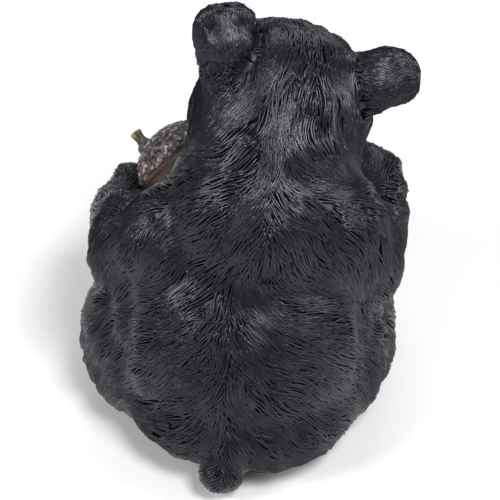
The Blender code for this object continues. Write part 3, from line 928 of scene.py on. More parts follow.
def hair_form(spots):
    """The hair's length and thickness, as shares of those on the body."""
    local = in_head(spots)
    from_head = np.linalg.norm(local, axis=1)
    length, thick = 1, 1
    for edge, depth, shorter, thinner in (FACE_HAIR, MUZZLE_HAIR):
        share = faded(local[:, 1], edge, depth) * (from_head < HEAD_REACH)
        length, thick = length - shorter * share, thick - thinner * share
    by_acorn = faded(distance(spots, ACORN_CENTRE), *PAW_HAIR)
    short = np.maximum(by_acorn, faded(spots[:, 1], *FOOT_HAIR))
    short *= from_head > LIMB_REACH_FROM_HEAD
    length = length * (1 - LIMB_HAIR_LOSS[0] * short)
    thick = thick * (1 - LIMB_HAIR_LOSS[1] * short)
    for reach in ear_distances(spots):
        share = faded(reach, *EAR_HAIR[:2])
        length = length * (1 - share) + EAR_HAIR[2] * share
        thick = thick * (1 - share) + EAR_HAIR[3] * share
    return length, thick


def naked_skin(spots):
    """Where no hair grows: nose, eyes, soles, underside and the acorn's seat."""
    local = in_head(spots)
    naked = spots[:, 2] < HAIR_FLOOR
    for *centre, radius in NAKED:
        naked |= distance(local, centre) < radius
    front, top, inner = NAKED_SOLE
    naked |= (spots[:, 1] < front) & (spots[:, 2] < top) & (abs(spots[:, 0]) > inner)
    return naked | (acorn_depth(spots) > -SEAT_MARGIN)


def fur_region(spot):
    """The piece of fur that a tuft belongs to, by where its root is."""
    x, y, z = spot
    if distance(spot, HEAD_CENTRE) < HEAD_PIECE:
        return "fur_face" if y < FACE_PIECE else "fur_head"
    side = "left" if x > MIDDLE else "right"
    if y < LIMB_PIECE or (abs(x) > FLANK_PIECE[0] and y < FLANK_PIECE[1]):
        return "fur_limbs_" + side
    return ("fur_back_" if z > BACK_PIECE else "fur_rump_") + side


def sample_rows(rows, place):
    """Read rows at fractional places along them."""
    low = np.minimum(place.astype(int), len(rows) - 2)
    share = (place - low)[..., None]
    return rows[low] * (1 - share) + rows[low + 1] * share


def eased(values):
    """Even values out along each line, with the ends kept."""
    values[:, 1:-1] = (values[:, :-2] + 2 * values[:, 1:-1] + values[:, 2:]) / 4


def comb_tuft(skin, relief, path, passed, size, form, steps, draw):
    """The ridges of one tuft: lines over the skin, with their upward ways and sizes."""
    length, thick = form
    half_width = TUFT_HALF_WIDTH * size * length ** SHORT_TUFT
    up = unit(skin.normals[passed])
    side = unit(np.cross(np.gradient(path, axis=0), up))
    pitch = RIDGE_PITCH * thick ** RIDGE_THINNING
    count = max(FEWEST_HAIRS, int(round(2 * half_width / pitch)))
    aside = (np.linspace(-1, 1, count) + draw.normal(0, HAIR_SCATTER / count, count))[:, None]
    begin = draw.uniform(0, HAIR_START, (count, 1))
    end = 1 - np.abs(aside) * HAIR_END[0] - draw.uniform(0, HAIR_END[1], (count, 1))
    along = np.linspace(0, 1, steps + 1)[None, :]
    share = begin + (end - begin) * along
    place = share * (len(path) - 1)
    root, swell, soon = TUFT_SHAPE
    width = half_width * (root + swell * np.sin(math.pi * np.minimum(1, share * soon)))
    width = width * (1 - TUFT_DRAW[0] * np.clip(share, 0, 1) ** TUFT_DRAW[1])
    wave = draw.uniform(0, 2 * math.pi)
    own = draw.uniform(0, 2 * math.pi, (count, 1))
    sway = TUFT_SWAY[0] * np.sin(wave + share * TUFT_SWAY[1])
    sway = (sway + HAIR_SWAY[0] * np.sin(own + share * HAIR_SWAY[1])) * (length * thick)
    spots = sample_rows(path, place) + sample_rows(side, place) * (aside * width + sway)[..., None]
    ups = np.empty_like(spots)
    lift = np.empty(spots.shape[:2])
    for index in np.ndindex(spots.shape[:2]):
        _, near, _ = skin.tree.find(spots[index])
        normal = skin.normals[near]
        spots[index] -= normal * ((spots[index] - skin.spots[near]) @ normal)
        ups[index] = normal
        lift[index] = relief[near]
    eased(ups)
    eased(lift)
    spots += ups * (lift + thick * (RIDGE_LIFT[0] + RIDGE_LIFT[1] * along))[..., None]
    halves = RIDGE_HALF_WIDTH * thick ** RIDGE_THINNING
    halves = halves * (1 - RIDGE_TAPER[0] * along ** RIDGE_TAPER[1])
    halves = halves * draw.uniform(*RIDGE_WIDTHS, (count, 1))
    rises = RIDGE_RISE * thick * draw.uniform(*RIDGE_RISES, (count, 1))
    rises = rises * np.minimum(1, RIDGE_ROOT[0] + along / RIDGE_ROOT[1])
    rises = rises * np.minimum(1, (1 - along) / RIDGE_TIP[1] + RIDGE_TIP[0])
    high, apart, often = RIDGE_WAVE
    rises = rises * (1 + high * np.sin(apart * own + share * often))
    return spots, unit(ups), halves, rises


def at_ear_base(spots):
    """Where the skin belongs to the base of an ear."""
    near = [(reach > EAR_BASE[0]) & (reach < EAR_BASE[1]) for reach in ear_distances(spots)]
    return np.logical_or(*near)


def hair_roots(skin, length):
    """Where tufts start: closer where the hair is short, and along the parting."""
    across = abs(skin.spots[:, 0] - ramp(skin.spots[:, 2], PARTING))
    long, short = length > LONG_HAIR, length <= SHORT_HAIR
    by_parting = long & (across < PARTING_HALF_WIDTH) & (skin.spots[:, 1] > 0)
    zones = (long, ~long & ~short, short, by_parting, at_ear_base(skin.spots))
    for zone, (spacing, steps) in zip(zones, TUFT_ZONES):
        for root in zone_roots(skin, zone, spacing, FUR_SEED + 3):
            yield root, steps, TUFT_LENGTH


def zone_roots(skin, zone, spacing, seed):
    """Evenly spread vertices of a zone of the skin."""
    chosen = np.flatnonzero(zone)
    spots = skin.spots[chosen]
    return chosen[spread_starts(spots, spacing, seed, vertex_tree(spots))]


def comb_bed(skin, relief, roots, form, draw, beds):
    """A tuft from each root, kept by region and by the number of its hairs' steps."""
    length, thick = form
    for root, steps, reach in roots:
        size = draw.uniform(*TUFT_SIZES)
        path, passed = trace_lock(skin, root, reach * size * length[root] + 2 * LOCK_STEP)
        own = (length[root], thick[root])
        tuft = comb_tuft(skin, relief, path, passed, size, own, steps, draw)
        beds.setdefault((fur_region(skin.spots[root]), steps), []).append(tuft)


def thin_roots(skin, relief, beds, hairy):
    """Where more tufts start: on hairy skin that lies too far from any hair."""
    hairs = [tuft[0][tuft[3] > THIN_RISE] for bed in beds.values() for tuft in bed]
    tree = vertex_tree(np.concatenate(hairs))
    surface = skin.spots + skin.normals * relief[:, None]
    gaps = np.array([tree.find(spot)[2] for spot in surface])
    thin = hairy & (gaps > np.where(at_ear_base(skin.spots), EAR_GAP, THIN_GAP))
    spacing, steps = THIN_ZONE
    for root in zone_roots(skin, thin, spacing, FUR_SEED + 4):
        yield root, steps, THIN_LENGTH


def comb_fur(skin, relief):
    """Tufts all over the skin, smaller and closer where the hair is short, by region."""
    draw = np.random.default_rng(FUR_SEED + 1)
    form = hair_form(skin.spots)
    hairy = ~naked_skin(skin.spots)
    roots = [row for row in hair_roots(skin, form[0]) if hairy[row[0]]]
    beds = {}
    comb_bed(skin, relief, roots, form, draw, beds)
    comb_bed(skin, relief, list(thin_roots(skin, relief, beds, hairy)), form, draw, beds)
    return beds


def ridge_corners(lines, ups, halves, rises):
    """The corners of closed slim ridges: a point, rings of three corners, and a point."""
    sides = unit(np.cross(np.gradient(lines, axis=1), ups)) * halves[..., None]
    low = lines - ups * RIDGE_SINK
    rings = np.stack([low - sides, lines + ups * rises[..., None], low + sides], axis=2)[:, 1:-1]
    rings = rings.reshape(len(lines), -1, 3)
    return np.concatenate([low[:, :1], rings, low[:, -1:]], axis=1)


def ridge_faces(rings):
    """The faces of one ridge over its own corners, and their corners' texture places."""
    last = 1 + 3 * rings
    triangles, quads, points, strips = [], [], [], []
    for edge in range(3):
        here, there = 1 + edge, 1 + (edge + 1) % 3
        left, middle, right = edge / 3, (edge + 0.5) / 3, (edge + 1) / 3
        low, high = 1 / (rings + 1), rings / (rings + 1)
        triangles.append((0, there, here))
        points.append(((middle, 0), (right, low), (left, low)))
        triangles.append((last, last - 3 + edge, last - 3 + (edge + 1) % 3))
        points.append(((middle, 1), (left, high), (right, high)))
        for ring in range(rings - 1):
            up = 3 * ring
            near, far = (ring + 1) / (rings + 1), (ring + 2) / (rings + 1)
            quads.append((here + up, there + up, there + up + 3, here + up + 3))
            strips.append(((left, near), (right, near), (right, far), (left, far)))
    return [np.array(rows) for rows in (triangles, quads, points, strips)]


def fur_piece(name, beds):
    """One mesh of all the ridges of a region."""
    corners, crests, tones = [], [], []
    triangles, quads, points, strips = [], [], [], []
    draw = np.random.default_rng(FUR_SEED + 2)
    total = sum(len(tuft[0]) for _, bed in beds for tuft in bed)
    columns = math.ceil(math.sqrt(total))
    base = cell = 0
    for steps, bed in beds:
        block = ridge_corners(*(np.concatenate(rows) for rows in zip(*bed)))
        number, each = block.shape[:2]
        three, four, three_spots, four_spots = ridge_faces(steps - 1)
        shift = base + each * np.arange(number)[:, None, None]
        triangles.append((three[None] + shift).reshape(-1, 3))
        quads.append((four[None] + shift).reshape(-1, 4))
        cells = np.arange(cell, cell + number)
        place = np.stack([cells % columns, cells // columns], axis=1)[:, None, None, :]
        for rows, spots in ((points, three_spots), (strips, four_spots)):
            spots = place + CELL_EDGE + spots * (1 - 2 * CELL_EDGE)
            rows.append((spots / columns).reshape(-1, 2))
        # Crest is one at each ridge's top and nought at its feet: the finish reads it to paint
        # shade in the grooves and a sheen on the tops
        crest = np.zeros(each)
        crest[2:-1:3] = 1
        crests.append(np.tile(crest, number))
        tones.append(np.repeat(draw.uniform(0, 1, number), each))
        corners.append(block.reshape(-1, 3))
        base, cell = base + number * each, cell + number
    corners = keep_inside(in_metres(clear_of_acorn(np.concatenate(corners))))
    mesh = bpy.data.meshes.new(name)
    faces = np.concatenate(triangles).tolist() + np.concatenate(quads).tolist()
    mesh.from_pydata(corners.tolist(), [], faces)
    lay_flat(mesh, np.concatenate(points + strips))
    return show(name, mesh, np.concatenate(crests), np.concatenate(tones))


def lay_flat(mesh, places):
    """Give every corner of every face its place in the texture."""
    layer = mesh.uv_layers.new(name="OFBake")
    layer.data.foreach_set("uv", np.array(places, dtype=np.float32).ravel())


def show(name, mesh, crest=None, tone=None):
    """Put a mesh into the scene, with its crest and tone for the finish to read."""
    for title, values in (("crest", crest), ("tone", tone)):
        if values is not None:
            layer = mesh.attributes.new(title, "FLOAT", "POINT")
            layer.data.foreach_set("value", np.asarray(values, dtype=np.float32))
    mesh.shade_smooth()
    return add_item(name, mesh)


def in_metres(spots):
    return moved(spots, np.array(placing()))


def moved(spots, place):
    return spots @ place[:3, :3].T + place[:3, 3]


def keep_inside(corners):
    """Hold the looks inside the box of the solids."""
    return np.clip(corners, *(np.array(corner) for corner in CAD_BOUNDS))


def refine_face(mesh):
    """Smaller faces on the muzzle, where the mouth is cut."""
    *centre, radius = FINE_SKIN
    centre = head_frame() @ Vector(centre)
    work = bmesh.new()
    work.from_mesh(mesh)
    edges = [edge for edge in work.edges if (edge.verts[0].co - centre).length < radius]
    bmesh.ops.subdivide_edges(work, edges=edges, cuts=1, use_grid_fill=True)
    work.to_mesh(mesh)
    work.free()


def bear_pieces():
    """The skin with its large locks, and the fur combed over it."""
    mesh = bear_skin()
    refine_face(mesh)
    skin = Skin(mesh)
    relief = softened(mesh, lock_relief(skin), SKIN_SOFTENING)
    beds = comb_fur(skin, relief)
    deep = relief - SKIN_DROP * (1 - bare_skin(skin.spots)) - mouth_depth(skin.spots)
    spots = clear_of_acorn(skin.spots + skin.normals * deep[:, None])
    mesh.vertices.foreach_set("co", keep_inside(in_metres(spots)).ravel())
    furs = []
    for name in sorted({region for region, _ in beds}):
        own = [(steps, bed) for (region, steps), bed in beds.items() if region == name]
        furs.append(fur_piece(name, own))
    # Skin between the hairs is darkened as painted shade; bare skin is left paler
    crest = SHADED_SKIN_CREST + NAKED_CREST * naked_skin(skin.spots)
    return [show("bear_skin", mesh, crest, np.full(len(spots), SKIN_TONE)), *furs]


# The acorn


def nut_radius(height):
    """The nut is round above its middle and draws to a point below."""
    if height > 0:
        return NUT_RADIUS * math.sqrt(max(0.0, 1 - (height / NUT_RADIUS) ** 2 * NUT_SHOULDER))
    share = min(1.0, -height / NUT_LENGTH)
    return NUT_RADIUS * (1 - share ** NUT_CURVE[0]) ** NUT_CURVE[1]


def cap_arc():
    """The radius and the angle of the arc from the cap's crown to its lip."""
    radius = (CAP_RADIUS ** 2 + CAP_HEIGHT ** 2) / (2 * CAP_HEIGHT)
    return radius, 2 * math.atan(CAP_HEIGHT / CAP_RADIUS)


def acorn_radius(height):
    """The acorn's outer radius at a height on its axis, without the stem."""
    if height < CAP_LIFT - CAP_LIP:
        return nut_radius(height)
    radius, _ = cap_arc()
    fall = min(CAP_HEIGHT, CAP_LIFT + CAP_HEIGHT - height)
    return math.sqrt(max(0.0, radius ** 2 - (radius - fall) ** 2))


def acorn_depth(spots):
    """How far a spot is inside the acorn, in design units, measured from its axis."""
    local = moved(spots, np.array(acorn_frame().inverted())) * UNIT
    table = np.linspace(-NUT_LENGTH, CAP_LIFT + CAP_HEIGHT, OUTLINE_ROWS)
    radius = np.interp(local[:, 2], table, [acorn_radius(z) for z in table])
    depth = radius - np.linalg.norm(local[:, :2], axis=1)
    beyond = (local[:, 2] < -NUT_LENGTH) | (local[:, 2] > CAP_LIFT + CAP_HEIGHT)
    return np.where(beyond, -np.inf, depth) / UNIT


def clear_of_acorn(spots):
    """Move what is inside the acorn out to its surface."""
    deep = acorn_depth(spots) + SEAT_CLEARANCE / UNIT
    inside = deep > 0
    axis = np.array(Vector(ACORN_AXIS).normalized())
    away = spots[inside] - np.array(ACORN_CENTRE)
    away -= (away @ axis)[:, None] * axis
    spots = spots.copy()
    spots[inside] += unit(away) * deep[inside][:, None]
    return spots


def acorn_place():
    """From metres in the acorn's own frame to its place in the scene."""
    return np.array(placing() @ acorn_frame() @ Matrix.Scale(1 / UNIT, 4))


def ring_faces(count, sides):
    """Faces of a closed skin over rings of corners, with one corner beyond each end."""
    turn = [(side, (side + 1) % sides) for side in range(sides)]
    last = count * sides + 1
    foot = last - sides
    faces = [(0, 1 + a, 1 + b) for a, b in turn]
    for top in range(1, foot, sides):
        low = top + sides
        faces += [(top + a, low + a, low + b, top + b) for a, b in turn]
    return faces + [(foot + a, last, foot + b) for a, b in turn]


def ring_places(number, bands, count, sides):
    """Texture places: each body has a band, with its rings unrolled in it."""
    for ring in range(-1, count):
        near, far = (ring + 1) / (count + 1), (ring + 2) / (count + 1)
        for turn in range(sides):
            a, b, middle = turn / sides, (turn + 1) / sides, (turn + 0.5) / sides
            if ring < 0:
                spots = ((middle, near), (a, far), (b, far))
            elif ring == count - 1:
                spots = ((a, near), (middle, far), (b, near))
            else:
                spots = ((a, near), (a, far), (b, far), (b, near))
            for u, v in spots:
                yield u, (number + BAND_EDGE + (1 - 2 * BAND_EDGE) * v) / bands


def ringed_mesh(name, bodies):
    """One mesh of closed bodies, each an array of rings from its top to its foot."""
    corners, faces, places = [], [], []
    base = 0
    for number, rings in enumerate(bodies):
        count, sides = rings.shape[:2]
        ends = rings[:1].mean(axis=1), rings[-1:].mean(axis=1)
        corners += [ends[0], rings.reshape(-1, 3), ends[1]]
        faces += [tuple(base + corner for corner in face) for face in ring_faces(count, sides)]
        places += ring_places(number, len(bodies), count, sides)
        base += count * sides + 2
    mesh = bpy.data.meshes.new(name)
    mesh.from_pydata(keep_inside(np.concatenate(corners)).tolist(), [], faces)
    lay_flat(mesh, places)
    return mesh


def turned_rings(profile, sides):
    """Rings of corners about Z for a profile of radius and height."""
    angle = np.linspace(0, 2 * math.pi, sides, endpoint=False)
    radius, height = np.array(profile).T
    rings = np.empty((len(profile), sides, 3))
    rings[..., 0] = radius[:, None] * np.cos(angle)
    rings[..., 1] = radius[:, None] * np.sin(angle)
    rings[..., 2] = height[:, None]
    return rings


def turned_piece(name, profile, sides, surface, place):
    """A turned body whose corners are raised, and given their crest and tone, by a rule."""
    rings = turned_rings(profile, sides)
    down = np.gradient(rings, axis=0)
    round_about = np.roll(rings, -1, axis=1) - np.roll(rings, 1, axis=1)
    outward = unit(np.cross(down, round_about))
    marks = [[surface(spot, row) for spot in ring] for row, ring in enumerate(rings)]
    depth, crest, tone = np.moveaxis(np.array(marks), -1, 0)
    mesh = ringed_mesh(name, [moved(rings + outward * depth[..., None], place)])
    return show(name, mesh, *(np.pad(values.ravel(), 1, mode="edge") for values in (crest, tone)))


def cap_surface(spot, row):
    """The cap's bark: flakes with clefts between them, which fade out inside the rim."""
    reach = math.hypot(spot[0], spot[1]) + 1e-6
    wide = math.sqrt(CAP_RADIUS / reach)
    down = reach + max(0.0, CAP_LIFT - spot[2])
    spread = Vector((spot[0] * wide, spot[1] * wide, down * CAP_FLATTENING)) / CAP_FLAKE
    (often, far), (oftener, near) = FLAKE_BENDS
    bend = noise.noise_vector(spread * often) * far
    spread += bend + noise.noise_vector(spread * oftener) * near
    distances, centres = noise.voronoi(spread)
    gap = min(1.0, (distances[1] - distances[0]) / CLEFT_WIDTH)
    own = noise.noise(centres[0] * FLAKE_TONES)
    wide_grain, fine_grain, share = BARK_GRAIN
    grain = noise.noise(spread * wide_grain) + share * noise.noise(spread * fine_grain)
    lean = (spread - centres[0]).z
    whole, by_own, by_lean = FLAKE_RISE
    proud = gap * (whole + by_own * own + by_lean * lean) + GRAIN_RISE * grain
    edge = gap * max(0.0, min(1.0, EDGE_SHARPNESS * lean))
    flake, upper, fine = FLAKE_CREST
    crest = min(1.0, max(0.0, flake * gap + upper * edge + fine * grain))
    rim_share = faded(row, CAP_RINGS + 2 * LIP_RINGS, LIP_RINGS)
    return (proud - CAP_LEVEL) * CAP_RELIEF * rim_share, crest, own * 0.5 + 0.5


def cap_outline():
    """The cap's profile from its crown over the dome and lip to inside the rim."""
    radius, whole_angle = cap_arc()
    rows = []
    for step in range(1, CAP_RINGS + 1):
        angle = whole_angle * step / CAP_RINGS
        fall = radius * (1 - math.cos(angle))
        rows.append((radius * math.sin(angle), CAP_LIFT + CAP_HEIGHT - fall))
    rim = CAP_LIFT - CAP_LIP
    rows += [(CAP_RADIUS, CAP_LIFT - CAP_LIP * step / LIP_RINGS) for step in range(1, LIP_RINGS)]
    for step in range(LIP_RINGS + 1):
        angle = math.pi / 2 * step / LIP_RINGS
        inward, upward = LIP_ROUND * (1 - math.cos(angle)), LIP_ROUND * (1 - math.sin(angle))
        rows.append((CAP_RADIUS - inward, rim + upward))
    rows.append((nut_radius(rim) - CAP_WALL, rim + LIP_ROUND / 2))
    rows.append((nut_radius(rim) - 2 * CAP_WALL, rim + 2 * CAP_WALL))
    return rows


def acorn_cap():
    """The cap. The seed is what the vector noise that bends the flakes starts from."""
    noise.seed_set(FLAKE_SEED)
    return turned_piece("acorn_cap", cap_outline(), ACORN_TURNS, cap_surface, acorn_place())


def nut_surface(spot, _):
    """Faint bands round the nut, with wider clouds."""
    x, y, z = spot
    across, along = NUT_BANDS
    crest = 0.5 + 0.5 * noise.noise(Vector((x * across, y * across, z * along)))
    across, along, start = NUT_CLOUDS
    tone = 0.5 + 0.5 * noise.noise(Vector((x * across, y * across, z * along + start)))
    by_crest, by_tone, level = NUT_SHARES
    return (by_crest * crest + by_tone * tone - level) * NUT_RELIEF, crest, tone


def acorn_nut():
    """The nut from just inside the cap to its point."""
    top = CAP_LIFT - CAP_LIP + CAP_WALL
    shares = np.linspace(0, 1, NUT_RINGS + 1)[:-1] ** NUT_SPACING
    rows = [(nut_radius(z), z) for z in top - (top + NUT_LENGTH) * shares]
    return turned_piece("acorn_nut", rows, ACORN_TURNS, nut_surface, acorn_place())


def stem_place():
    """The foot of the stem on the cap's crown, to one side of the axis."""
    side = acorn_frame().to_3x3().inverted() @ Vector(STEM_SIDE)
    way = Vector((side.x, side.y, 0)).normalized() * STEM_OFFSET
    radius, _ = cap_arc()
    fall = radius - math.sqrt(radius ** 2 - STEM_OFFSET ** 2)
    return Matrix.Translation(way + Vector((0, 0, CAP_LIFT + CAP_HEIGHT - fall)))


def stem_surface(spot, row):
    """Ribs along the stem, and a tone that fades from its tip to its foot."""
    x, y, z = spot * MILLIMETRES
    across, along = STEM_RIBS
    crest = 0.5 + 0.5 * noise.noise(Vector((x * across, y * across, z * along)))
    return (crest - STEM_LEVEL) * STEM_RELIEF, crest, 1 - row / (STEM_RINGS + 3)


def acorn_stem():
    """The stem: ribbed, flared at both ends, with a hollowed tip."""
    hole, edge = STEM_HOLE
    rows = [(STEM_RADIUS * hole, STEM_LENGTH - STEM_HOLLOW), (STEM_RADIUS * edge, STEM_LENGTH)]
    for share in np.linspace(0, 1, STEM_RINGS):
        rows.append((STEM_RADIUS * ramp(share, STEM_SHAPE), STEM_LENGTH * (1 - share)))
    rows.append((STEM_RADIUS * STEM_SHAPE[-1][1], -STEM_SINK))
    place = acorn_place() @ np.array(stem_place())
    return turned_piece("acorn_stem", rows, STEM_TURNS, stem_surface, place)


# Face, claws and pads


def moulded(name, places, detail, shape=Vector):
    """One mesh of balls, each shaped by a function and put in its place in design units."""
    work = bmesh.new()
    for place in places:
        made = bmesh.ops.create_icosphere(work, subdivisions=detail, radius=1)
        for vertex in made["verts"]:
            vertex.co = placing() @ place @ shape(vertex.co)
    mesh = finished(work, name)
    corners = np.array([vertex.co for vertex in mesh.vertices])
    mesh.vertices.foreach_set("co", keep_inside(corners).ravel())
    return show(name, mesh)


def ball_place(place, centre, radii):
    return place @ Matrix.Translation(Vector(centre)) @ Matrix.Diagonal((*radii, 1))


def eyes():
    (x, y, z), radii = EYE
    places = [ball_place(head_frame(), (side * x, y, z), radii) for side in (1, -1)]
    return moulded("eyes", places, EYE_DETAIL)


def nose_shape(spot):
    """A broad pad that narrows below, with a nostril on each side and a groove between."""
    x, y, z = spot
    x *= 1 - NOSE_NARROWING * max(0.0, -z)
    shaped = Vector((x, y, z))
    (aside, ahead, above), (inward, backward, upward), radius = NOSTRIL
    for side in (1, -1):
        reach = (spot - Vector((side * aside, ahead, above))).length
        shaped += Vector((side * inward, backward, upward)) * math.exp(-((reach / radius) ** 2))
    half_width, depth = NOSE_GROOVE
    groove = math.exp(-((x / half_width) ** 2)) * max(0.0, min(1.0, 0.5 - z)) * max(0.0, -y)
    return shaped + Vector((0, depth * groove, 0))


def nose():
    centre, radii = NOSE
    place = ball_place(head_frame(), centre, [radius + NOSE_SKIN for radius in radii])
    return moulded("nose", [place], NOSE_DETAIL, nose_shape)


def claw_rings(path):
    """Rings along a short curved path that draw to a point."""
    path = np.array(path)
    share = np.linspace(0, 1, CLAW_RINGS)
    knots = np.linspace(0, 1, len(path))
    spots = np.stack([np.interp(share, knots, column) for column in path.T], axis=1)
    ways = unit(np.gradient(spots, axis=0))
    across = unit(np.cross(ways, CLAW_ASIDE))
    above = np.cross(across, ways)
    turn = np.linspace(0, 2 * math.pi, CLAW_SIDES, endpoint=False)
    width = CLAW_RADIUS * (1 - share ** CLAW_SHAPE[0]) ** CLAW_SHAPE[1] + CLAW_POINT
    round_about = across[:, None] * np.cos(turn)[:, None] + above[:, None] * np.sin(turn)[:, None]
    return spots[:, None] + round_about * width[:, None, None]


def toe_claw(side, angle):
    """The path of a toe's claw: it sets off over the foot and bends down."""
    arc = (TOE_ARC[0] - TOE_CLAW_INSET, TOE_ARC[1] - TOE_CLAW_INSET)
    start = np.array(toe_spot(side, angle, arc, TOE_CLAW_AHEAD))
    way = np.array((math.sin(angle), 0, math.cos(angle))) + np.array(TOE_CLAW_WAY)
    steps = np.linspace(0, 1, TOE_CLAW_STEPS)[:, None]
    return start + TOE_CLAW * (steps * unit(way) + steps ** 2 * np.array(TOE_CLAW_BEND))


def finger_claw(palm, reach, aside):
    """The path of a finger's claw: it follows the nut and comes down on it."""
    rest = NUT_RADIUS / UNIT + FINGER_LIFT[1]
    for share in np.linspace(0, 1, CLAW_RINGS):
        way = palm.slerp(reach, 1 + CLAW_REACH * share)
        height = rest + CLAW_HEIGHTS[0] - CLAW_HEIGHTS[1] * share ** CLAW_FALL
        yield Vector(ACORN_CENTRE) + (way * rest + aside).normalized() * height


def claws():
    """Claws on the toes, and on the fingers where they end on the acorn."""
    paths = [toe_claw(side, angle) for side in (1, -1) for angle in toe_angles()]
    for paw in (LEFT_PAW, RIGHT_PAW):
        palm, reach, asides = fingers(paw)
        paths += [list(finger_claw(palm, reach, aside)) for aside in asides]
    return show("claws", ringed_mesh("claws", [in_metres(claw_rings(path)) for path in paths]))


def pads():
    """Bare pads on the soles: two broad pads on each, with one on each toe."""
    arc = (TOE_ARC[0], TOE_ARC[1] - TOE_PAD_INSET)
    ahead = TOE_SHIFT[1] - TOE_RADII[1] + TOE_PAD_SINK
    (x, y, z), _ = FOOT
    balls = []
    for side in (1, -1):
        for (across, forward, up), radii in SOLE_PADS:
            balls.append(((side * (x + across), y + forward, z + up), radii))
        balls += [(toe_spot(side, angle, arc, ahead), TOE_PAD) for angle in toe_angles()]
    places = [ball_place(STILL, *ball) for ball in balls]
    return moulded("paw_pads", places, PAD_DETAIL)


# Finishes


class Finish:
    """A new material with short ways to add and join its nodes."""

    def __init__(self, name):
        self.material = bpy.data.materials.new(name)
        self.material.use_nodes = True
        self.tree = self.material.node_tree
        self.shader = self.tree.nodes["Principled BSDF"]

    def add(self, kind, inputs=(), **settings):
        """A node with its settings; an input is given as a constant or as an output."""
        item = self.tree.nodes.new(kind)
        for name, value in settings.items():
            setattr(item, name, value)
        for name, value in inputs:
            if isinstance(value, bpy.types.NodeSocket):
                self.tree.links.new(value, item.inputs[name])
            else:
                item.inputs[name].default_value = value
        return item

    def attribute(self, name):
        return self.add("ShaderNodeAttribute", attribute_name=name).outputs["Fac"]

    def noise(self, scale, detail):
        """Noise over the object's own place."""
        place = self.add("ShaderNodeTexCoord").outputs["Object"]
        inputs = (("Scale", scale), ("Detail", detail), ("Vector", place))
        return self.add("ShaderNodeTexNoise", inputs).outputs["Fac"]

    def ramp(self, value, stops):
        """Colours at their places along a value."""
        item = self.add("ShaderNodeValToRGB", (("Fac", value),))
        elements = item.color_ramp.elements
        while len(elements) < len(stops):
            elements.new(0.5)
        for element, (place, colour) in zip(elements, stops):
            element.position = place
            element.color = (*colour, 1)
        return item.outputs["Color"]

    def span(self, value, low, high):
        """The value from nought to one, read as a value from low to high."""
        inputs = (("To Min", low), ("To Max", high), ("Value", value))
        return self.add("ShaderNodeMapRange", inputs).outputs["Result"]

    def mix(self, share, first, second, way="MIX"):
        inputs = ((0, share), (6, first), (7, second))
        return self.add("ShaderNodeMix", inputs, data_type="RGBA", blend_type=way).outputs[2]

    def times(self, colour, factor):
        return self.mix(1.0, colour, factor, "MULTIPLY")

    def relief(self, scale, detail, depth, strength):
        """A fine grain that stands up by so much."""
        height = self.noise(scale, detail)
        inputs = (("Strength", strength), ("Distance", depth), ("Height", height))
        item = self.add("ShaderNodeBump", inputs)
        self.tree.links.new(item.outputs["Normal"], self.shader.inputs["Normal"])

    def surface(self, colour, roughness):
        """Join the colour and the roughness to the shader, and give back the material."""
        self.tree.links.new(colour, self.shader.inputs["Base Color"])
        self.tree.links.new(roughness, self.shader.inputs["Roughness"])
        return self.material


def black_resin():
    """Black resin: painted shade darkens the grooves and a painted sheen greys the ridge tops;
    each hair a little different.
    """
    finish = Finish("black_resin_carved")
    crest, tone = finish.attribute("crest"), finish.attribute("tone")
    patch = finish.span(finish.noise(*RESIN_PATCHES), *RESIN_PATCH_SPAN)
    # The crest ramp paints shade at the ridges' feet and a sheen on their tops
    colour = finish.times(finish.ramp(crest, RESIN_SHADE_AND_SHEEN), finish.span(tone, *RESIN_TONES))
    by_crest, by_tone = RESIN_GLOSS
    gloss = finish.mix(0.5, finish.span(crest, *by_crest), finish.span(tone, *by_tone))
    finish.shader.inputs["Specular IOR Level"].default_value = RESIN_SHINE
    finish.shader.inputs["Specular Tint"].default_value = RESIN_TINT
    finish.relief(*RESIN_BUMP)
    return finish.surface(finish.times(colour, patch), gloss)


def grained(name, grain, dark, pale, gloss_grain, gloss, relief=None):
    """The finish of a small part: a grain in its colour, in its gloss and in its relief."""
    finish = Finish(name)
    if relief:
        finish.relief(*relief)
    colour = finish.ramp(finish.noise(*grain), (dark, pale))
    return finish.surface(colour, finish.span(finish.noise(*gloss_grain), *gloss))


def cap_bark():
    """The cap: grey-brown scales with pale edges, black clefts and brown patches."""
    finish = Finish("acorn_bark")
    crest, tone = finish.attribute("crest"), finish.attribute("tone")
    patches = finish.ramp(finish.noise(*BROWN_PATCHES), BROWN_SHARE)
    base = finish.mix(patches, finish.ramp(crest, BARK_GREYS), finish.ramp(crest, BARK_BROWNS))
    finish.relief(*BARK_BUMP)
    colour = finish.times(base, finish.span(tone, *BARK_TONES))
    return finish.surface(colour, finish.span(crest, *BARK_GLOSS))


def nut_shell():
    """The nut: dark reddish brown with paler and darker bands round it."""
    finish = Finish("acorn_shell")
    crest, tone = finish.attribute("crest"), finish.attribute("tone")
    finish.relief(*SHELL_BUMP)
    colour = finish.times(finish.ramp(crest, SHELL_COLOURS), finish.span(tone, *SHELL_TONES))
    return finish.surface(colour, finish.span(finish.noise(*SHELL_SMEARS), *SHELL_GLOSS))


def stem_wood():
    """The stem: dark olive, brushed with yellow beige towards its tip."""
    finish = Finish("acorn_stem_wood")
    crest, tone = finish.attribute("crest"), finish.attribute("tone")
    dark, pale = finish.ramp(crest, STEM_OLIVES), finish.ramp(crest, STEM_BEIGES)
    finish.relief(*STEM_BUMP)
    colour = finish.mix(finish.ramp(tone, STEM_TONES), dark, pale)
    return finish.surface(colour, finish.span(crest, *STEM_GLOSS))


def pale_floor():
    finish = Finish("floor")
    finish.shader.inputs["Base Color"].default_value = FLOOR_WHITE
    finish.shader.inputs["Roughness"].default_value = FLOOR_ROUGHNESS
    return finish.material


# The scene round it


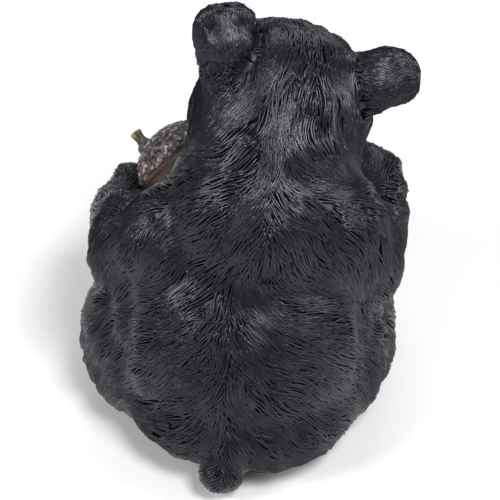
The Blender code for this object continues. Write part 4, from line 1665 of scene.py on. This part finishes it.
def add_light(name, spot, size, power):
    """A soft rectangular light that faces the middle of the bear."""
    lamp = bpy.data.lights.new(name, "AREA")
    lamp.shape = "RECTANGLE"
    lamp.size, lamp.size_y = size
    lamp.energy = power
    item = add_item(name, lamp)
    item.location = spot
    aim = Vector((0, 0, BEAR_HEIGHT / 2)) - Vector(spot)
    item.rotation_euler = aim.to_track_quat("-Z", "Y").to_euler()


def add_camera():
    flat = math.cos(CAMERA_RISE)
    back = Vector((
        math.sin(CAMERA_AZIMUTH) * flat,
        -math.cos(CAMERA_AZIMUTH) * flat,
        math.sin(CAMERA_RISE),
    ))
    camera = bpy.data.cameras.new("camera")
    item = add_item("camera", camera)
    item.location = Vector(CAMERA_TARGET) + back * CAMERA_DISTANCE
    item.rotation_euler = back.to_track_quat("Z", "Y").to_euler()
    camera.lens = camera.sensor_width * PIXELS_PER_METRE * CAMERA_DISTANCE / IMAGE_SIZE
    camera.shift_x = (IMAGE_SIZE / 2 - IMAGE_CENTRE_X) / IMAGE_SIZE
    camera.clip_start = CAMERA_NEAR
    bpy.context.scene.camera = item


def add_floor():
    work = bmesh.new()
    bmesh.ops.create_grid(work, x_segments=1, y_segments=1, size=FLOOR_SIZE)
    mesh = finished(work, "floor")
    mesh.materials.append(pale_floor())
    show("floor", mesh)


def add_world():
    """A soft white sky, which the camera itself sees as nearly plain white."""
    world = bpy.data.worlds.new("world")
    bpy.context.scene.world = world
    world.use_nodes = True
    tree = world.node_tree
    sky = tree.nodes["Background"]
    seen = tree.nodes.new("ShaderNodeBackground")
    for background, strength in ((sky, SKY_STRENGTH), (seen, SKY_SEEN)):
        background.inputs["Color"].default_value = (*WHITE, 1)
        background.inputs["Strength"].default_value = strength
    path = tree.nodes.new("ShaderNodeLightPath")
    choose = tree.nodes.new("ShaderNodeMixShader")
    tree.links.new(path.outputs["Is Camera Ray"], choose.inputs["Fac"])
    tree.links.new(sky.outputs["Background"], choose.inputs[1])
    tree.links.new(seen.outputs["Background"], choose.inputs[2])
    tree.links.new(choose.outputs["Shader"], tree.nodes["World Output"].inputs["Surface"])
    bpy.context.scene.view_settings.view_transform = "Standard"


def dress(pieces, finish, replaced):
    """Give pieces their finish, and let them ride with the body in a solid's place."""
    for piece in pieces:
        piece.data.materials.clear()
        piece.data.materials.append(finish)
        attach(piece, "root")
        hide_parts(replaced)


def main():
    dress(bear_pieces(), black_resin(), "bear")
    dress([eyes()], grained("black_gloss", *EYE_FINISH), "bear")
    dress([nose()], grained("black_nose", *NOSE_FINISH), "bear")
    dress([claws()], grained("dark_horn", *CLAW_FINISH), "bear")
    dress([pads()], grained("black_pad", *PAD_FINISH), "bear")
    dress([acorn_cap()], cap_bark(), "acorn")
    dress([acorn_nut()], nut_shell(), "acorn")
    dress([acorn_stem()], stem_wood(), "acorn")
    add_camera()
    add_floor()
    add_world()
    for light in LIGHTS:
        add_light(*light)


main()
